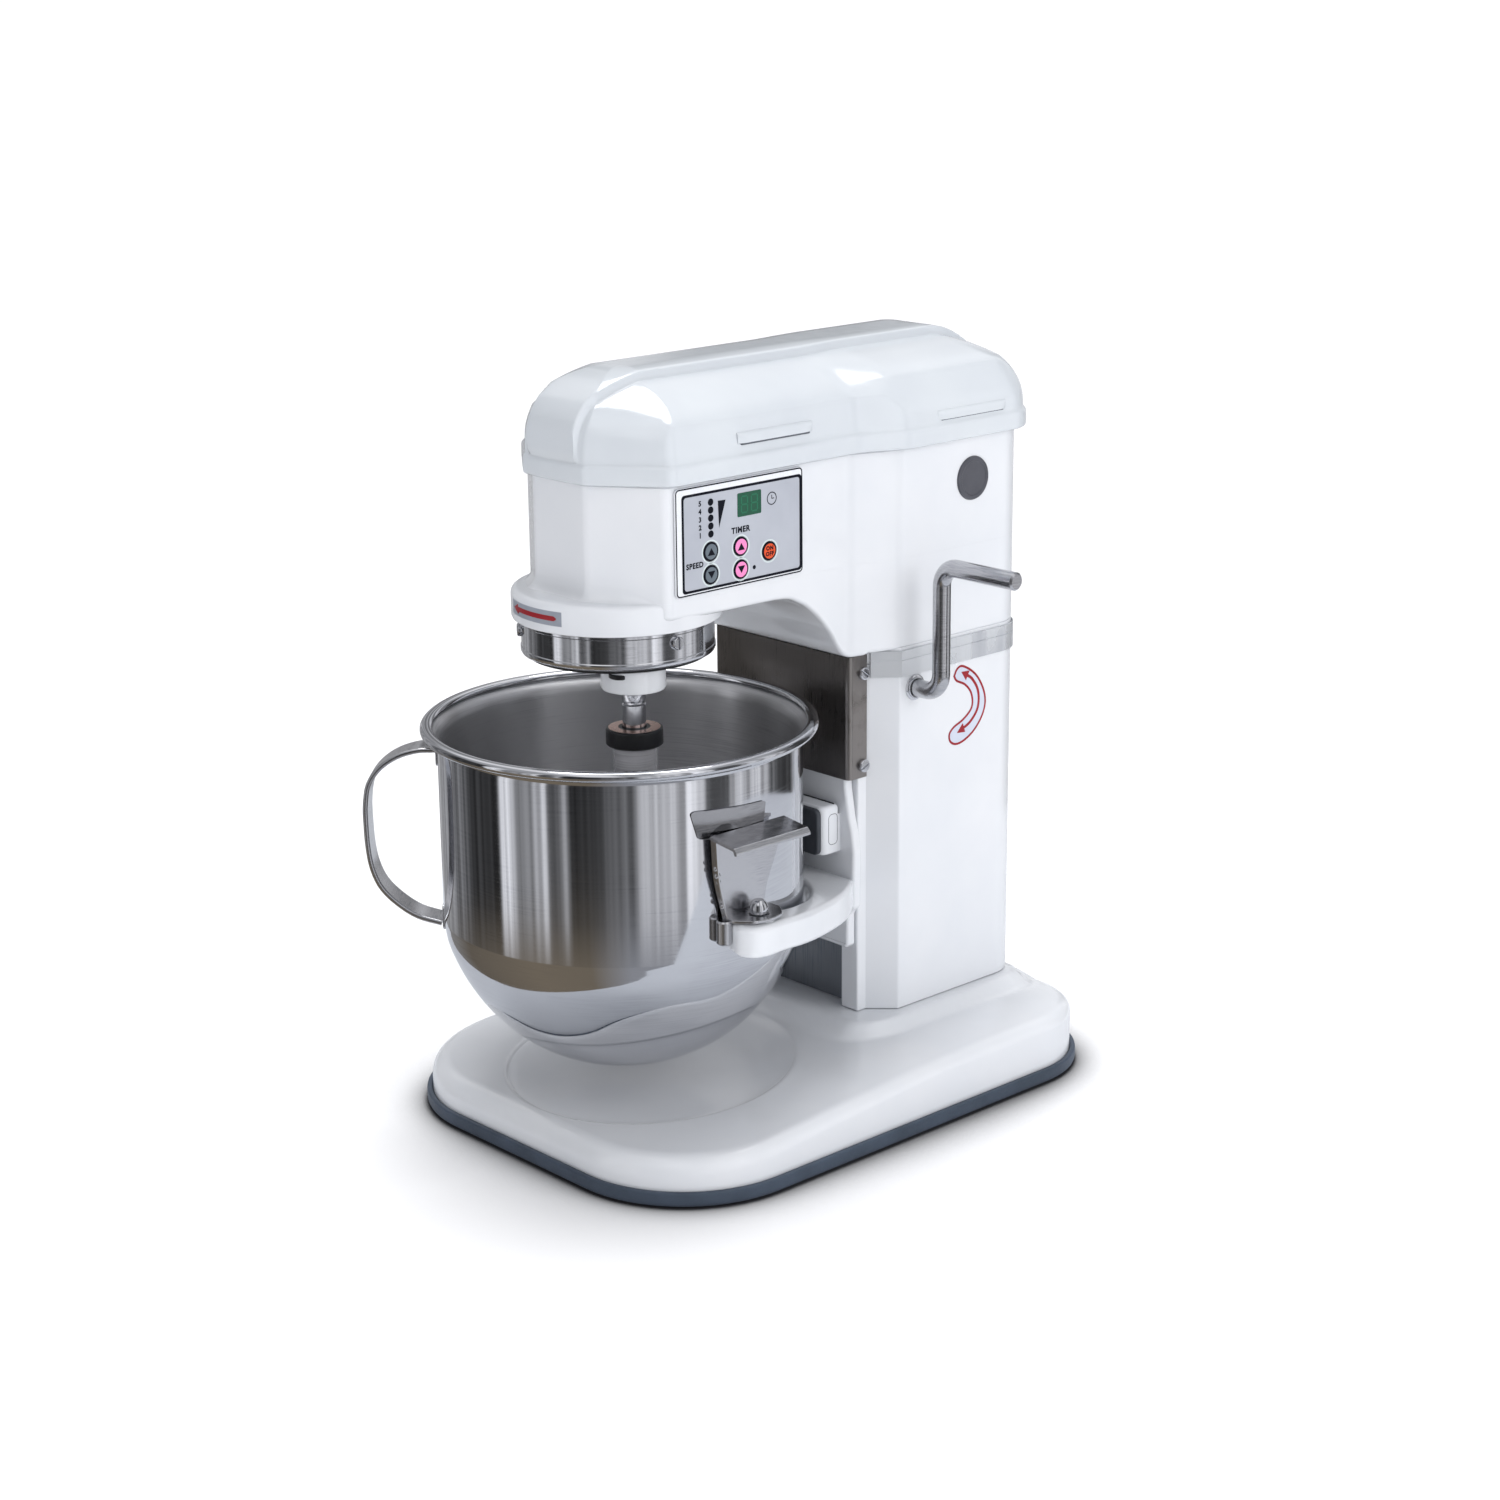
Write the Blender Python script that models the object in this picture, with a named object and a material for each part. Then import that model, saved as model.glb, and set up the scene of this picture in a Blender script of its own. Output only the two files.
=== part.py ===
"""Bench planetary stand mixer, built as separate solid nodes with working joints.

Frame: metres, +Z up, the rubber underside rests on z = 0, X = 0 is the plane of symmetry
and the bowl faces -Y. The control panel and the lifting crank are on the +X side.
"""
import math

import bmesh
import bpy
from mathutils import Matrix, Vector

MM = 0.001
GAP = 0.3                     # clearance left between two separate solids, mm

# ---- driving dimensions, mm -------------------------------------------------------------
BASE_HALF = 129.4             # half width over the rubber skirt
BASE_FRONT, BASE_REAR = -176.0, 167.3
BASE_R_FRONT, BASE_R_REAR = 73.0, 58.0
SKIRT_H, SKIRT_T = 8.5, 3.2
BASE_TOP = 43.5               # height of the column foot
DISH_Y, DISH_R, DISH_Z = -80.0, 81.0, 26.0
COL_HALF, COL_FRONT, COL_REAR, COL_RC = 66.5, 29.5, 153.0, 22.0
STRIP_IN, STRIP_OUT = 40.0, 53.4
JOINT_Z = 246.9               # split between lower column and upper body
BAND_Z0, BAND_Z1 = 239.6, 254.2
HEAD_HALF, HEAD_FRONT, HEAD_TOP = 56.5, -135.0, 367.0
BOWL_Y, BOWL_RIM_R, BOWL_RIM_Z, BOWL_R, BOWL_BOTTOM = -97.0, 107.0, 229.4, 98.0, 43.0
BOWL_WALL = 1.6
RING_R, RING_Z0, RING_Z1 = 51.8, 270.4, 289.2
ORBIT, ORBIT_DEG = 27.0, -24.0
RING_TEETH, PLANET_TEETH, EPI_MODULE = 36, 12, 2.25
PINION_TEETH, RACK_MODULE = 12, 1.25
CRANK_Y, CRANK_Z, CRANK_ARM, CRANK_BAR = 61.0, 231.5, 72.0, 5.0
CRANK_X, CRANK_TIP_X, BEND_R = 86.5, 141.0, 8.0
PIN_X = 108.0                 # locating pins under the ears of the bowl
GUARD_SCREW_Y, GUARD_SCREW_Z = 32.2, (189.7, 242.6)
RING_SCREW_DEG, RING_SCREW_Z = (-4, 116, 236), 283.0
PLUG_Y, PLUG_Z = 105.7, 343.0
BUTTON_X = 52.9               # inner end of the button stems
MOTOR_Y, MOTOR_R = 98.0, 38.0
PULLEY_R, MOTOR_PULLEY_R = 35.0, 14.0
PANEL_Y0, PANEL_Y1, PANEL_Z0, PANEL_Z1 = -106.3, -16.5, 308.2, 365.0
BUTTONS = {"speed_up": (-82.3, 329.5), "speed_down": (-82.3, 317.3), "timer_up": (-61.3, 329.0),
           "timer_down": (-61.3, 316.8), "power": (-41.0, 323.4)}
PAX = ORBIT * math.cos(math.radians(ORBIT_DEG))
PAY = BOWL_Y + ORBIT * math.sin(math.radians(ORBIT_DEG))

for old in list(bpy.data.objects):
    bpy.data.objects.remove(old, do_unlink=True)
PARTS = bpy.data.collections.new("stand_mixer")
TOOLS = bpy.data.collections.new("cutters")
bpy.context.scene.collection.children.link(PARTS)
bpy.context.scene.collection.children.link(TOOLS)
MATS = {}


def material(name, rgb, metal=0.0, rough=0.4):
    if name not in MATS:
        m = bpy.data.materials.new(name)
        m.use_nodes = True
        b = m.node_tree.nodes["Principled BSDF"]
        b.inputs["Base Color"].default_value = (*rgb, 1.0)
        b.inputs["Metallic"].default_value = metal
        b.inputs["Roughness"].default_value = rough
        MATS[name] = m
    return MATS[name]


WHITE = ("white_enamel", (0.86, 0.88, 0.90), 0.0, 0.28)
PLASTIC = ("white_plastic", (0.88, 0.89, 0.91), 0.0, 0.32)
RUBBER = ("blue_grey_rubber", (0.055, 0.08, 0.115), 0.0, 0.6)
STEEL = ("stainless", (0.62, 0.61, 0.58), 1.0, 0.22)
DARKSTEEL = ("brushed_steel", (0.36, 0.35, 0.33), 1.0, 0.35)
CASTGREY = ("cast_aluminium", (0.55, 0.56, 0.57), 1.0, 0.5)
BLACK = ("black_plastic", (0.012, 0.012, 0.014), 0.0, 0.4)
GREY = ("dark_grey_plastic", (0.07, 0.07, 0.075), 0.0, 0.5)
PANEL = ("panel_silver", (0.50, 0.52, 0.56), 0.2, 0.4)
BRASS = ("bronze", (0.55, 0.36, 0.13), 1.0, 0.35)
GREEN = ("board_green", (0.02, 0.16, 0.07), 0.0, 0.5)
GLASSY = ("display_green", (0.015, 0.05, 0.035), 0.0, 0.12)
SLATE = ("slate_button", (0.10, 0.14, 0.17), 0.0, 0.45)
PINK = ("pink_button", (0.80, 0.20, 0.42), 0.0, 0.45)
RED = ("red_button", (0.78, 0.09, 0.05), 0.0, 0.45)


# ---- geometry helpers, all in millimetres ----------------------------------------------
def mesh_object(name, bm, keep=True):
    bmesh.ops.remove_doubles(bm, verts=bm.verts, dist=0.001)
    bmesh.ops.recalc_face_normals(bm, faces=bm.faces)
    bmesh.ops.scale(bm, vec=(MM, MM, MM), verts=bm.verts)
    me = bpy.data.meshes.new(name)
    bm.to_mesh(me)
    bm.free()
    ob = bpy.data.objects.new(name, me)
    (PARTS if keep else TOOLS).objects.link(ob)
    return ob


def loft(rings):
    """Skin rings of equal point count and cap both ends."""
    bm = bmesh.new()
    vs = [[bm.verts.new(p) for p in r] for r in rings]
    n = len(rings[0])
    for a, b in zip(vs, vs[1:]):
        for k in range(n):
            bm.faces.new((a[k], a[(k + 1) % n], b[(k + 1) % n], b[k]))
    bm.faces.new(list(reversed(vs[0])))
    bm.faces.new(vs[-1])
    return bm


def tool(bm):
    return mesh_object("tool", bm, keep=False)


def extruded(points, along):
    """One flat face pulled along a vector."""
    bm = bmesh.new()
    face = bm.faces.new([bm.verts.new(p) for p in points])
    made = bmesh.ops.extrude_face_region(bm, geom=[face])["geom"]
    bmesh.ops.translate(bm, vec=along, verts=[v for v in made if isinstance(v, bmesh.types.BMVert)])
    return bm


def prism(pts, z0, z1):
    """XY outline pulled up from z0 to z1."""
    return extruded([(x, y, z0) for x, y in pts], (0, 0, z1 - z0))


def prism_x(pts, x0, x1):
    """YZ outline pulled along X."""
    return extruded([(x0, y, z) for y, z in pts], (x1 - x0, 0, 0))


def prism_y(pts, y0, y1):
    """XZ outline pulled along Y."""
    return extruded([(x, y0, z) for x, z in pts], (0, y1 - y0, 0))


def box(x0, x1, y0, y1, z0, z1):
    bm = bmesh.new()
    middle = Matrix.Translation(((x0 + x1) / 2, (y0 + y1) / 2, (z0 + z1) / 2))
    bmesh.ops.create_cube(bm, size=1.0, matrix=middle @ Matrix.Diagonal((x1 - x0, y1 - y0, z1 - z0, 1)))
    return bm


def rod(place, r, length, n):
    """Cylinder about the local Z of the matrix, a flat facing local X, from local z 0 to its length."""
    bm = bmesh.new()
    half = Matrix.Translation((0, 0, length / 2)) @ Matrix.Rotation(math.pi / n, 4, "Z")
    bmesh.ops.create_cone(bm, cap_ends=True, segments=n, radius1=r, radius2=r, depth=length,
                          matrix=place @ half)
    return bm


def cyl(cx, cy, r, z0, z1, n=24):
    return rod(Matrix.Translation((cx, cy, z0)), r, z1 - z0, n)


def cyl_x(y, z, r, x0, x1, n=20):
    return rod(Matrix.Translation((x0, y, z)) @ Matrix.Rotation(math.pi / 2, 4, "Y"), r, x1 - x0, n)


def turn(profile, cx, cy, n, closed):
    bm = bmesh.new()
    vs = [bm.verts.new((cx + r, cy, z)) for r, z in profile]
    es = [bm.edges.new(pair) for pair in zip(vs, vs[1:])]
    if closed:
        es.append(bm.edges.new((vs[-1], vs[0])))
    bmesh.ops.spin(bm, geom=vs + es, cent=(cx, cy, 0), axis=(0, 0, 1), angle=2 * math.pi, steps=n,
                   use_merge=True)
    return bm


def revolve(profile, cx, cy, n=36):
    """Closed (r, z) outline turned about the vertical line through (cx, cy)."""
    return turn(profile, cx, cy, n, True)


def turned_solid(profile, cx, cy, n=36):
    """Open (r, z) outline turned about the vertical line, with both ends filled flat."""
    bm = turn(profile, cx, cy, n, False)
    bmesh.ops.remove_doubles(bm, verts=bm.verts, dist=0.001)
    bmesh.ops.holes_fill(bm, edges=bm.edges)
    return bm


def apply_bool(target, tools, op="DIFFERENCE"):
    for t in tools:
        t.hide_render = True
        t.display_type = "WIRE"
        mod = target.modifiers.new("b", "BOOLEAN")
        mod.operation, mod.solver, mod.object = op, "EXACT", t
        deps = bpy.context.evaluated_depsgraph_get()
        me = bpy.data.meshes.new_from_object(target.evaluated_get(deps))
        target.modifiers.remove(mod)
        target.data = me
        bpy.data.objects.remove(t, do_unlink=True)
    return target


def cut(target, *bms):
    return apply_bool(target, [tool(b) for b in bms])


def join(target, *bms):
    return apply_bool(target, [tool(b) for b in bms], "UNION")


def keep_inside(target, *bms):
    return apply_bool(target, [tool(b) for b in bms], "INTERSECT")


def node(name, bm, mat):
    ob = mesh_object(name, bm)
    ob.data.materials.append(material(*mat))
    return ob


def rounded(half, y0, y1, rf, rr, n=8):
    """Rounded plan outline, symmetric about X = 0, front corners rf and rear corners rr."""
    out = []
    for cx, cy, r, a0 in ((-half + rf, y0 + rf, rf, 180), (half - rf, y0 + rf, rf, 270),
                          (half - rr, y1 - rr, rr, 0), (-half + rr, y1 - rr, rr, 90)):
        for k in range(n + 1):
            a = math.radians(a0 + 90.0 * k / n)
            out.append((cx + r * math.cos(a), cy + r * math.sin(a)))
    return out


def polar(r, deg, cx=0.0, cy=BOWL_Y):
    a = math.radians(deg)
    return cx + r * math.cos(a), cy + r * math.sin(a)


# ---- base --------------------------------------------------------------------------------
def build_base():
    w, t = BASE_HALF, SKIRT_T + 0.2
    skirt = node("base_rubber_mat", prism(rounded(w, BASE_FRONT, BASE_REAR, BASE_R_FRONT, BASE_R_REAR),
                                          0.0, SKIRT_H), RUBBER)
    cut(skirt, prism(rounded(w - t + GAP, BASE_FRONT + t - GAP, BASE_REAR - t + GAP,
                             BASE_R_FRONT - t, BASE_R_REAR - t), 2.0, 30.0))
    w, y0, y1 = BASE_HALF - t, BASE_FRONT + t, BASE_REAR - t
    rf, rr = BASE_R_FRONT - t, BASE_R_REAR - t

    def ring(inset, z_at):
        return [(x, y, z_at(y)) for x, y in rounded(w - inset, y0 + inset, y1 - inset,
                                                    rf - inset * 0.6, rr - inset * 0.6)]

    def edge(y):
        return 13.5 + 16.0 * min(1.0, max(0.0, (y + 176.0) / 200.0))
    body = node("base_casting", loft([ring(0, lambda y: 2.3), ring(0, edge),
                                      ring(2.5, lambda y: edge(y) + 4.5), ring(8, lambda y: edge(y) + 7.5),
                                      ring(9, lambda y: 70.0)]), WHITE)
    top = [(-180, -1), (170, -1), (170, 30), (160, 37.5), (148, 42.0), (136, BASE_TOP), (30, BASE_TOP),
           (18, 41.5), (0, 38.0), (-40, 33.0), (-80, 30.4), (-145, 26.5), (-180, 17.0)]
    keep_inside(body, prism_x(top, -140, 140))
    dish = [(DISH_R - 12, DISH_Z), (DISH_R - 5, DISH_Z + 1.2), (DISH_R, DISH_Z + 7), (DISH_R + 2, 60)]
    cut(body, turned_solid(dish, 0.0, DISH_Y, 40))
    cut(body, prism(rounded(w - 17, y0 + 17, y1 - 17, rf - 14, rr - 14, 4), 3.9, 20.0),
        prism(rounded(w - 13, y0 + 13, y1 - 13, rf - 10, rr - 10, 4), 0.0, 4.1),
        box(-50, 50, 46, 140, 15.0, 38.0))
    spots = [(sx * 84.0, y) for sx in (-1, 1) for y in (-118.0, 118.0)]
    for x, y in spots:
        join(body, cyl(x, y, 7.0, 4.1, 21.0, 12))
    for x, y in spots:
        cut(body, cyl(x, y, 2.3, 3.0, 16.0, 10))
    plate_plan = rounded(w - 13.3, y0 + 13.3, y1 - 13.3, rf - 10, rr - 10, 4)
    plate = node("base_cover_plate", prism(plate_plan, 2.5, 3.8), DARKSTEEL)
    for i, (x, y) in enumerate(spots):
        cut(plate, cyl(x, y, 2.5, 0.0, 10.0, 10))
        node("base_screw_%d" % (i + 1), cyl(x, y, 2.0, 2.35, 14.0, 10), STEEL)


# ---- column --------------------------------------------------------------------------------
def build_column():
    right = [(STRIP_OUT, COL_FRONT), (STRIP_OUT, 36.0), (COL_HALF, 49.4)] + rear_corner(0.0, 6)
    col = node("column_housing", prism(both_sides(right), BASE_TOP + GAP, JOINT_Z - GAP), WHITE)
    cut(col, prism(rounded(60.0, 52.0, 147.0, 3.0, 16.0, 3), 48.0, 260.0),
        box(-STRIP_IN, STRIP_IN, 0, 60, 30, 260), box(-57.0, 57.0, 44.0, 60.0, 48.0, 260.0),
        cyl_x(CRANK_Y, CRANK_Z, 7.0, 50, 80, 16), box(-13, 13, 140, 160, 66, 84))
    for x0 in (48.0, -60.5):
        for z in GUARD_SCREW_Z:
            cut(col, cyl_x(GUARD_SCREW_Y, z, 1.8, x0, x0 + 12.5, 8))
    plate = node("column_slot_plate", box(-39.6, 39.6, 37.2, 38.7, BASE_TOP + 0.5, 243.0), DARKSTEEL)
    cut(plate, box(-15, 15, 30, 45, 160, 250))
    board = node("power_board", box(-52, 52, 138, 139.6, 100, 190), GREEN)
    join(board, box(-30, -4, 126, 138.2, 110, 140), box(10, 34, 122, 138.2, 150, 172))
    inlet = node("rear_power_inlet", box(-12.6, 12.6, 141, 158.0, 66.4, 83.6), BLACK)
    join(inlet, box(-15.5, 15.5, 153.4, 156.0, 63.0, 87.0))
    cut(inlet, box(-8, 8, 146, 170, 70, 80))


def rear_corner(grow, steps):
    """Right rear corner of the column plan, from the side round to the back."""
    r = COL_RC + grow
    arc = [math.radians(90.0 * k / steps) for k in range(steps + 1)]
    return [(COL_HALF - COL_RC + r * math.cos(a), COL_REAR - COL_RC + r * math.sin(a)) for a in arc]


def both_sides(right):
    """Whole outline from its right half, which runs from front to back."""
    return [(-x, y) for x, y in reversed(right)] + right


def build_upper_body():
    """Head arm and upper column in one hollow casting, with the round collar under the head."""
    right = [(21.0, HEAD_FRONT), (HEAD_HALF - 1.5, -111.5), (HEAD_HALF, -108.0), (HEAD_HALF, 20.0),
             (COL_HALF, 49.4)] + rear_corner(0.0, 6)
    plan = both_sides(right)
    body = node("head_housing", prism(plan, 240.0, HEAD_TOP - GAP), WHITE)
    side = [(-140, 380), (-140, 297), (-76, 295.2), (-30, 294.5), (-17, 290.6), (-9.5, 286.0), (-2.0, 279.2),
            (5.6, 270.4), (11.0, 261.8), (15.5, 256.4), (21.0, 253.6), (COL_FRONT, 253.6),
            (COL_FRONT, JOINT_Z), (160, JOINT_Z), (160, 380)]
    keep_inside(body, prism_x(side, -80, 80))
    # below the arch the casting follows the chamfered column outline
    side = [(STRIP_OUT, -20.0), (90.0, -20.0), (90.0, 60.0), (COL_HALF, 60.0), (COL_HALF, 49.4),
            (STRIP_OUT, 36.0)]
    cut(body, prism(side, 230.0, 254.6), prism([(-x, y) for x, y in reversed(side)], 230.0, 254.6))
    collar = [(56.0, 289.5), (56.2, 303.0), (54.5, 307.5), (50.0, 312.0)]
    join(body, turned_solid(collar, 0.0, BOWL_Y, 40))
    spigot = [(47.2, 274.6), (50.0, 274.6), (50.0, 290.5), (47.2, 290.5)]
    join(body, revolve(spigot, 0.0, BOWL_Y, 40))
    inner = [(-18.0, -130.5), (18.0, -130.5), (51.0, -107.0), (51.0, 60.0), (-51.0, 60.0), (-51.0, -107.0)]
    cut(body, prism(inner, 301.0, 380.0),
        prism(rounded(60.0, 52.0, 147.0, 3.0, 16.0, 3), 240.0, 380.0),
        box(-51.0, 51.0, 44.0, 60.0, 240.0, 380.0),
        cyl(0.0, BOWL_Y, 20.3, 280.0, 310.0, 28),
        box(48.0, 60.0, -99.0, -23.0, 310.5, 361.0))
    for x0 in (58.0, -70.0):
        cut(body, cyl_x(PLUG_Y, PLUG_Z, 12.9, x0, x0 + 12.0, 24))
    for deg in RING_SCREW_DEG:
        cut(body, radial_rod(1.9, 46.0, 51.5, deg))


def radial_rod(r, r0, r1, deg, n=8):
    """Short rod along a radius of the planetary axis, at the height of the ring screws."""
    place = (Matrix.Translation((0.0, BOWL_Y, RING_SCREW_Z)) @ Matrix.Rotation(math.radians(deg), 4, "Z")
             @ Matrix.Translation((r0, 0, 0)) @ Matrix.Rotation(math.pi / 2, 4, "Y"))
    return rod(place, r, r1 - r0, n)


def build_band():
    """Thin trim strip round the sides and back of the joint between the two castings."""
    def outline(g):
        return both_sides([(STRIP_OUT + 1.6 + g, 36.6), (COL_HALF + g, 49.2)] + rear_corner(g, 8))
    node("column_band", prism(outline(1.35) + outline(0.25)[::-1], BAND_Z0, BAND_Z1), STEEL)


# ---- top cover -------------------------------------------------------------------------------
def cover_ring(z, w, wr, f, b, nose, rc):
    """Cover plan at one height: narrow head, wider column part."""
    right = [(nose * 0.5, f), (nose, f + 1.5), (w - 2.0, f + 27.0), (w, f + 32.0), (w, -60.0), (w, 22.0),
             (wr - 1.5, 44.0), (wr, 50.0), (wr, b - rc - 20.0)]
    for k in range(5):
        a = math.radians(90.0 * k / 4)
        right.append((wr - rc + rc * math.cos(a), b - rc + rc * math.sin(a)))
    return [(x, y, z) for x, y in both_sides(right)]


def build_cover():
    rows = [(367.0, 60.0, 71.5, -139.0, 157.5, 24.0, 25.0), (369.0, 61.0, 72.5, -139.8, 158.5, 24.5, 25.5),
            (375.5, 61.0, 72.5, -139.8, 158.5, 24.5, 25.5), (378.0, 58.5, 70.0, -138.0, 157.0, 24.0, 24.5),
            (390.0, 56.0, 67.5, -137.0, 156.2, 23.5, 23.5), (398.5, 52.0, 63.5, -134.5, 154.0, 22.5, 22.0),
            (405.0, 44.0, 56.5, -129.0, 150.0, 21.5, 20.0), (411.0, 33.0, 45.0, -120.0, 144.0, 19.5, 18.0),
            (416.0, 22.5, 32.0, -109.0, 137.0, 17.0, 15.0), (421.5, 13.0, 15.0, -95.0, 122.0, 10.0, 9.0)]
    cover = node("top_cover", loft([cover_ring(*r) for r in rows]), PLASTIC)
    t = 2.6
    inner = [(360.0, 57.4, 68.9, -136.4, 154.9, 22.0, 24.0), (375.5, 57.4, 68.9, -136.4, 154.9, 22.0, 24.0),
             (377.5, 55.9, 67.4, -135.4, 154.0, 22.0, 22.0)]
    for z, w, wr, f, b, nose, rc in rows[4:9]:
        inner.append((z - t, w - t, wr - t, f + t, b - t, nose - 1.5, rc - 2.0))
    cut(cover, loft([cover_ring(*r) for r in inner]))


# ---- planetary head ------------------------------------------------------------------------------
def gear_outline(teeth, module, backlash, add=0.9, ded=1.15, internal=False):
    """Involute outline about the origin, with tooth 0 centred on +X.

    On an internal gear each space takes the place of a tooth: the flanks are the same curves.
    """
    pressure = math.radians(20.0)
    rp = teeth * module / 2.0
    rb = rp * math.cos(pressure)
    side = -1 if internal else 1
    tip, root = rp + side * add * module, rp - side * ded * module
    half = math.pi / (2 * teeth) - side * backlash / 2.0 / rp + math.tan(pressure) - pressure

    def half_angle(r):
        if r <= rb:
            return half
        ac = math.acos(rb / r)
        return max(0.004, half - math.tan(ac) + ac)
    low, high = min(tip, root), max(tip, root)
    radii = [low, (low + high) / 2, high]
    pts = []
    for k in range(teeth):
        c = 2 * math.pi * k / teeth
        pts += [(r, c - half_angle(r)) for r in radii] + [(r, c + half_angle(r)) for r in reversed(radii)]
    return [(r * math.cos(a), r * math.sin(a)) for r, a in pts]


def turned(pts, deg, cx, cy):
    a = math.radians(deg)
    return [(cx + x * math.cos(a) - y * math.sin(a), cy + x * math.sin(a) + y * math.cos(a)) for x, y in pts]


def build_planetary():
    ring = [(RING_R - 1.5, RING_Z0), (RING_R, RING_Z0), (RING_R, RING_Z1), (RING_R - 1.5, RING_Z1)]
    steel = node("planetary_ring", revolve(ring, 0.0, BOWL_Y, 48), STEEL)
    for i, deg in enumerate(RING_SCREW_DEG):
        cut(steel, radial_rod(1.9, 45.0, 60.0, deg))
        scr = node("ring_screw_%d" % (i + 1), radial_rod(3.4, 52.15, 53.9, deg, 12), STEEL)
        join(scr, radial_rod(1.5, 47.8, 53.0, deg))
    rg = node("ring_gear", cyl(0, BOWL_Y, 46.9, 275.6, 288.6, 40), CASTGREY)
    cut(rg, prism(turned(gear_outline(RING_TEETH, EPI_MODULE, 0.35, internal=True), ORBIT_DEG, 0, BOWL_Y),
                  270.0, 295.0))
    # carrier disc, main shaft and hanging boss turn together
    car = node("planet_carrier", cyl(0, BOWL_Y, 49.8, 268.2, 274.0, 40), WHITE)
    join(car, cyl(0, BOWL_Y, 9.0, 272.0, 384.5, 20), cyl(PAX, PAY, 17.2, 255.3, 270.0, 28))
    cut(car, cyl(PAX, PAY, 6.6, 240.0, 280.0, 20))
    pul = [(9.3, 372.2), (PULLEY_R + 1.4, 372.2), (PULLEY_R + 1.4, 373.2), (PULLEY_R - 0.6, 373.2),
           (PULLEY_R - 0.6, 382.8), (PULLEY_R + 1.4, 382.8), (PULLEY_R + 1.4, 383.8), (9.3, 383.8)]
    node("large_pulley", revolve(pul, 0, BOWL_Y, 32), CASTGREY)
    for name, r, z0, z1 in (("lower_bearing", 20.0, 290.6, 300.4), ("upper_bearing", 20.3, 330.0, 341.0)):
        node(name, revolve([(9.3, z0), (r, z0), (r, z1), (9.3, z1)], 0, BOWL_Y, 28), STEEL)
    tube = [(20.6, 301.3), (31.0, 301.3), (31.0, 305.5), (25.0, 305.5), (25.0, 343.0), (20.6, 343.0)]
    node("bearing_housing", revolve(tube, 0, BOWL_Y, 28), CASTGREY)
    pg = node("planet_gear", prism(turned(gear_outline(PLANET_TEETH, EPI_MODULE, 0.35), ORBIT_DEG, PAX, PAY),
                                   276.4, 287.4), STEEL)
    cut(pg, cyl(PAX, PAY, 6.6, 270.0, 300.0, 20))
    sh = node("agitator_shaft", cyl(PAX, PAY, 6.3, 208.0, 288.6, 20), STEEL)
    cut(sh, revolve([(5.6, 247.0), (8.0, 247.0), (8.0, 248.6), (5.6, 248.6)], PAX, PAY, 20))
    join(sh, cyl_x(PAY, 219.0, 1.9, PAX - 10.4, PAX + 10.4, 8))
    collar = [(6.7, 227.4), (15.2, 227.4), (15.2, 234.4), (6.7, 234.4)]
    node("agitator_collar", revolve(collar, PAX, PAY, 28), BLACK)


def build_beater():
    """Flat beater: slotted sleeve on top, one flat openwork blade below."""
    sleeve = node("flat_beater", cyl(PAX, PAY, 12.0, 166.0, 227.0, 24), STEEL)
    cut(sleeve, cyl(PAX, PAY, 6.7, 196.0, 230.0, 20),
        box(PAX - 14, PAX + 14, PAY - 2.4, PAY + 2.4, 216.6, 230.0))
    right = [(0, 168), (22, 166), (44, 158), (56, 148), (58, 138), (54, 124), (47, 112), (36, 100), (20, 89),
             (7, 83), (0, 82)]
    outer = right + [(-x, z) for x, z in reversed(right[1:-1])]
    hole_r = [(6, 155), (24, 154), (40, 147.5), (47, 138), (44, 126), (37, 114), (26, 103), (12, 95),
              (6, 93)]
    blade = prism_y([(PAX + x, z) for x, z in outer], PAY - 4.0, PAY + 4.0)
    join(sleeve, blade)
    cut(sleeve, prism_y([(PAX + x, z) for x, z in hole_r], PAY - 9, PAY + 9),
        prism_y([(PAX - x, z) for x, z in reversed(hole_r)], PAY - 9, PAY + 9))


# ---- drive -----------------------------------------------------------------------------------------
def belt_outline(r1, r2, n=14):
    """Convex loop around two circles: (0, BOWL_Y) of radius r1 and (0, MOTOR_Y) of radius r2."""
    d = MOTOR_Y - BOWL_Y
    a = math.asin((r1 - r2) / d)
    pts = []
    for k in range(n + 1):
        t = math.pi - a + (math.pi + 2 * a) * k / n
        pts.append((r1 * math.cos(t), BOWL_Y + r1 * math.sin(t)))
    for k in range(n + 1):
        t = a + (math.pi - 2 * a) * k / n
        pts.append((r2 * math.cos(t), MOTOR_Y + r2 * math.sin(t)))
    return pts


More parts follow.
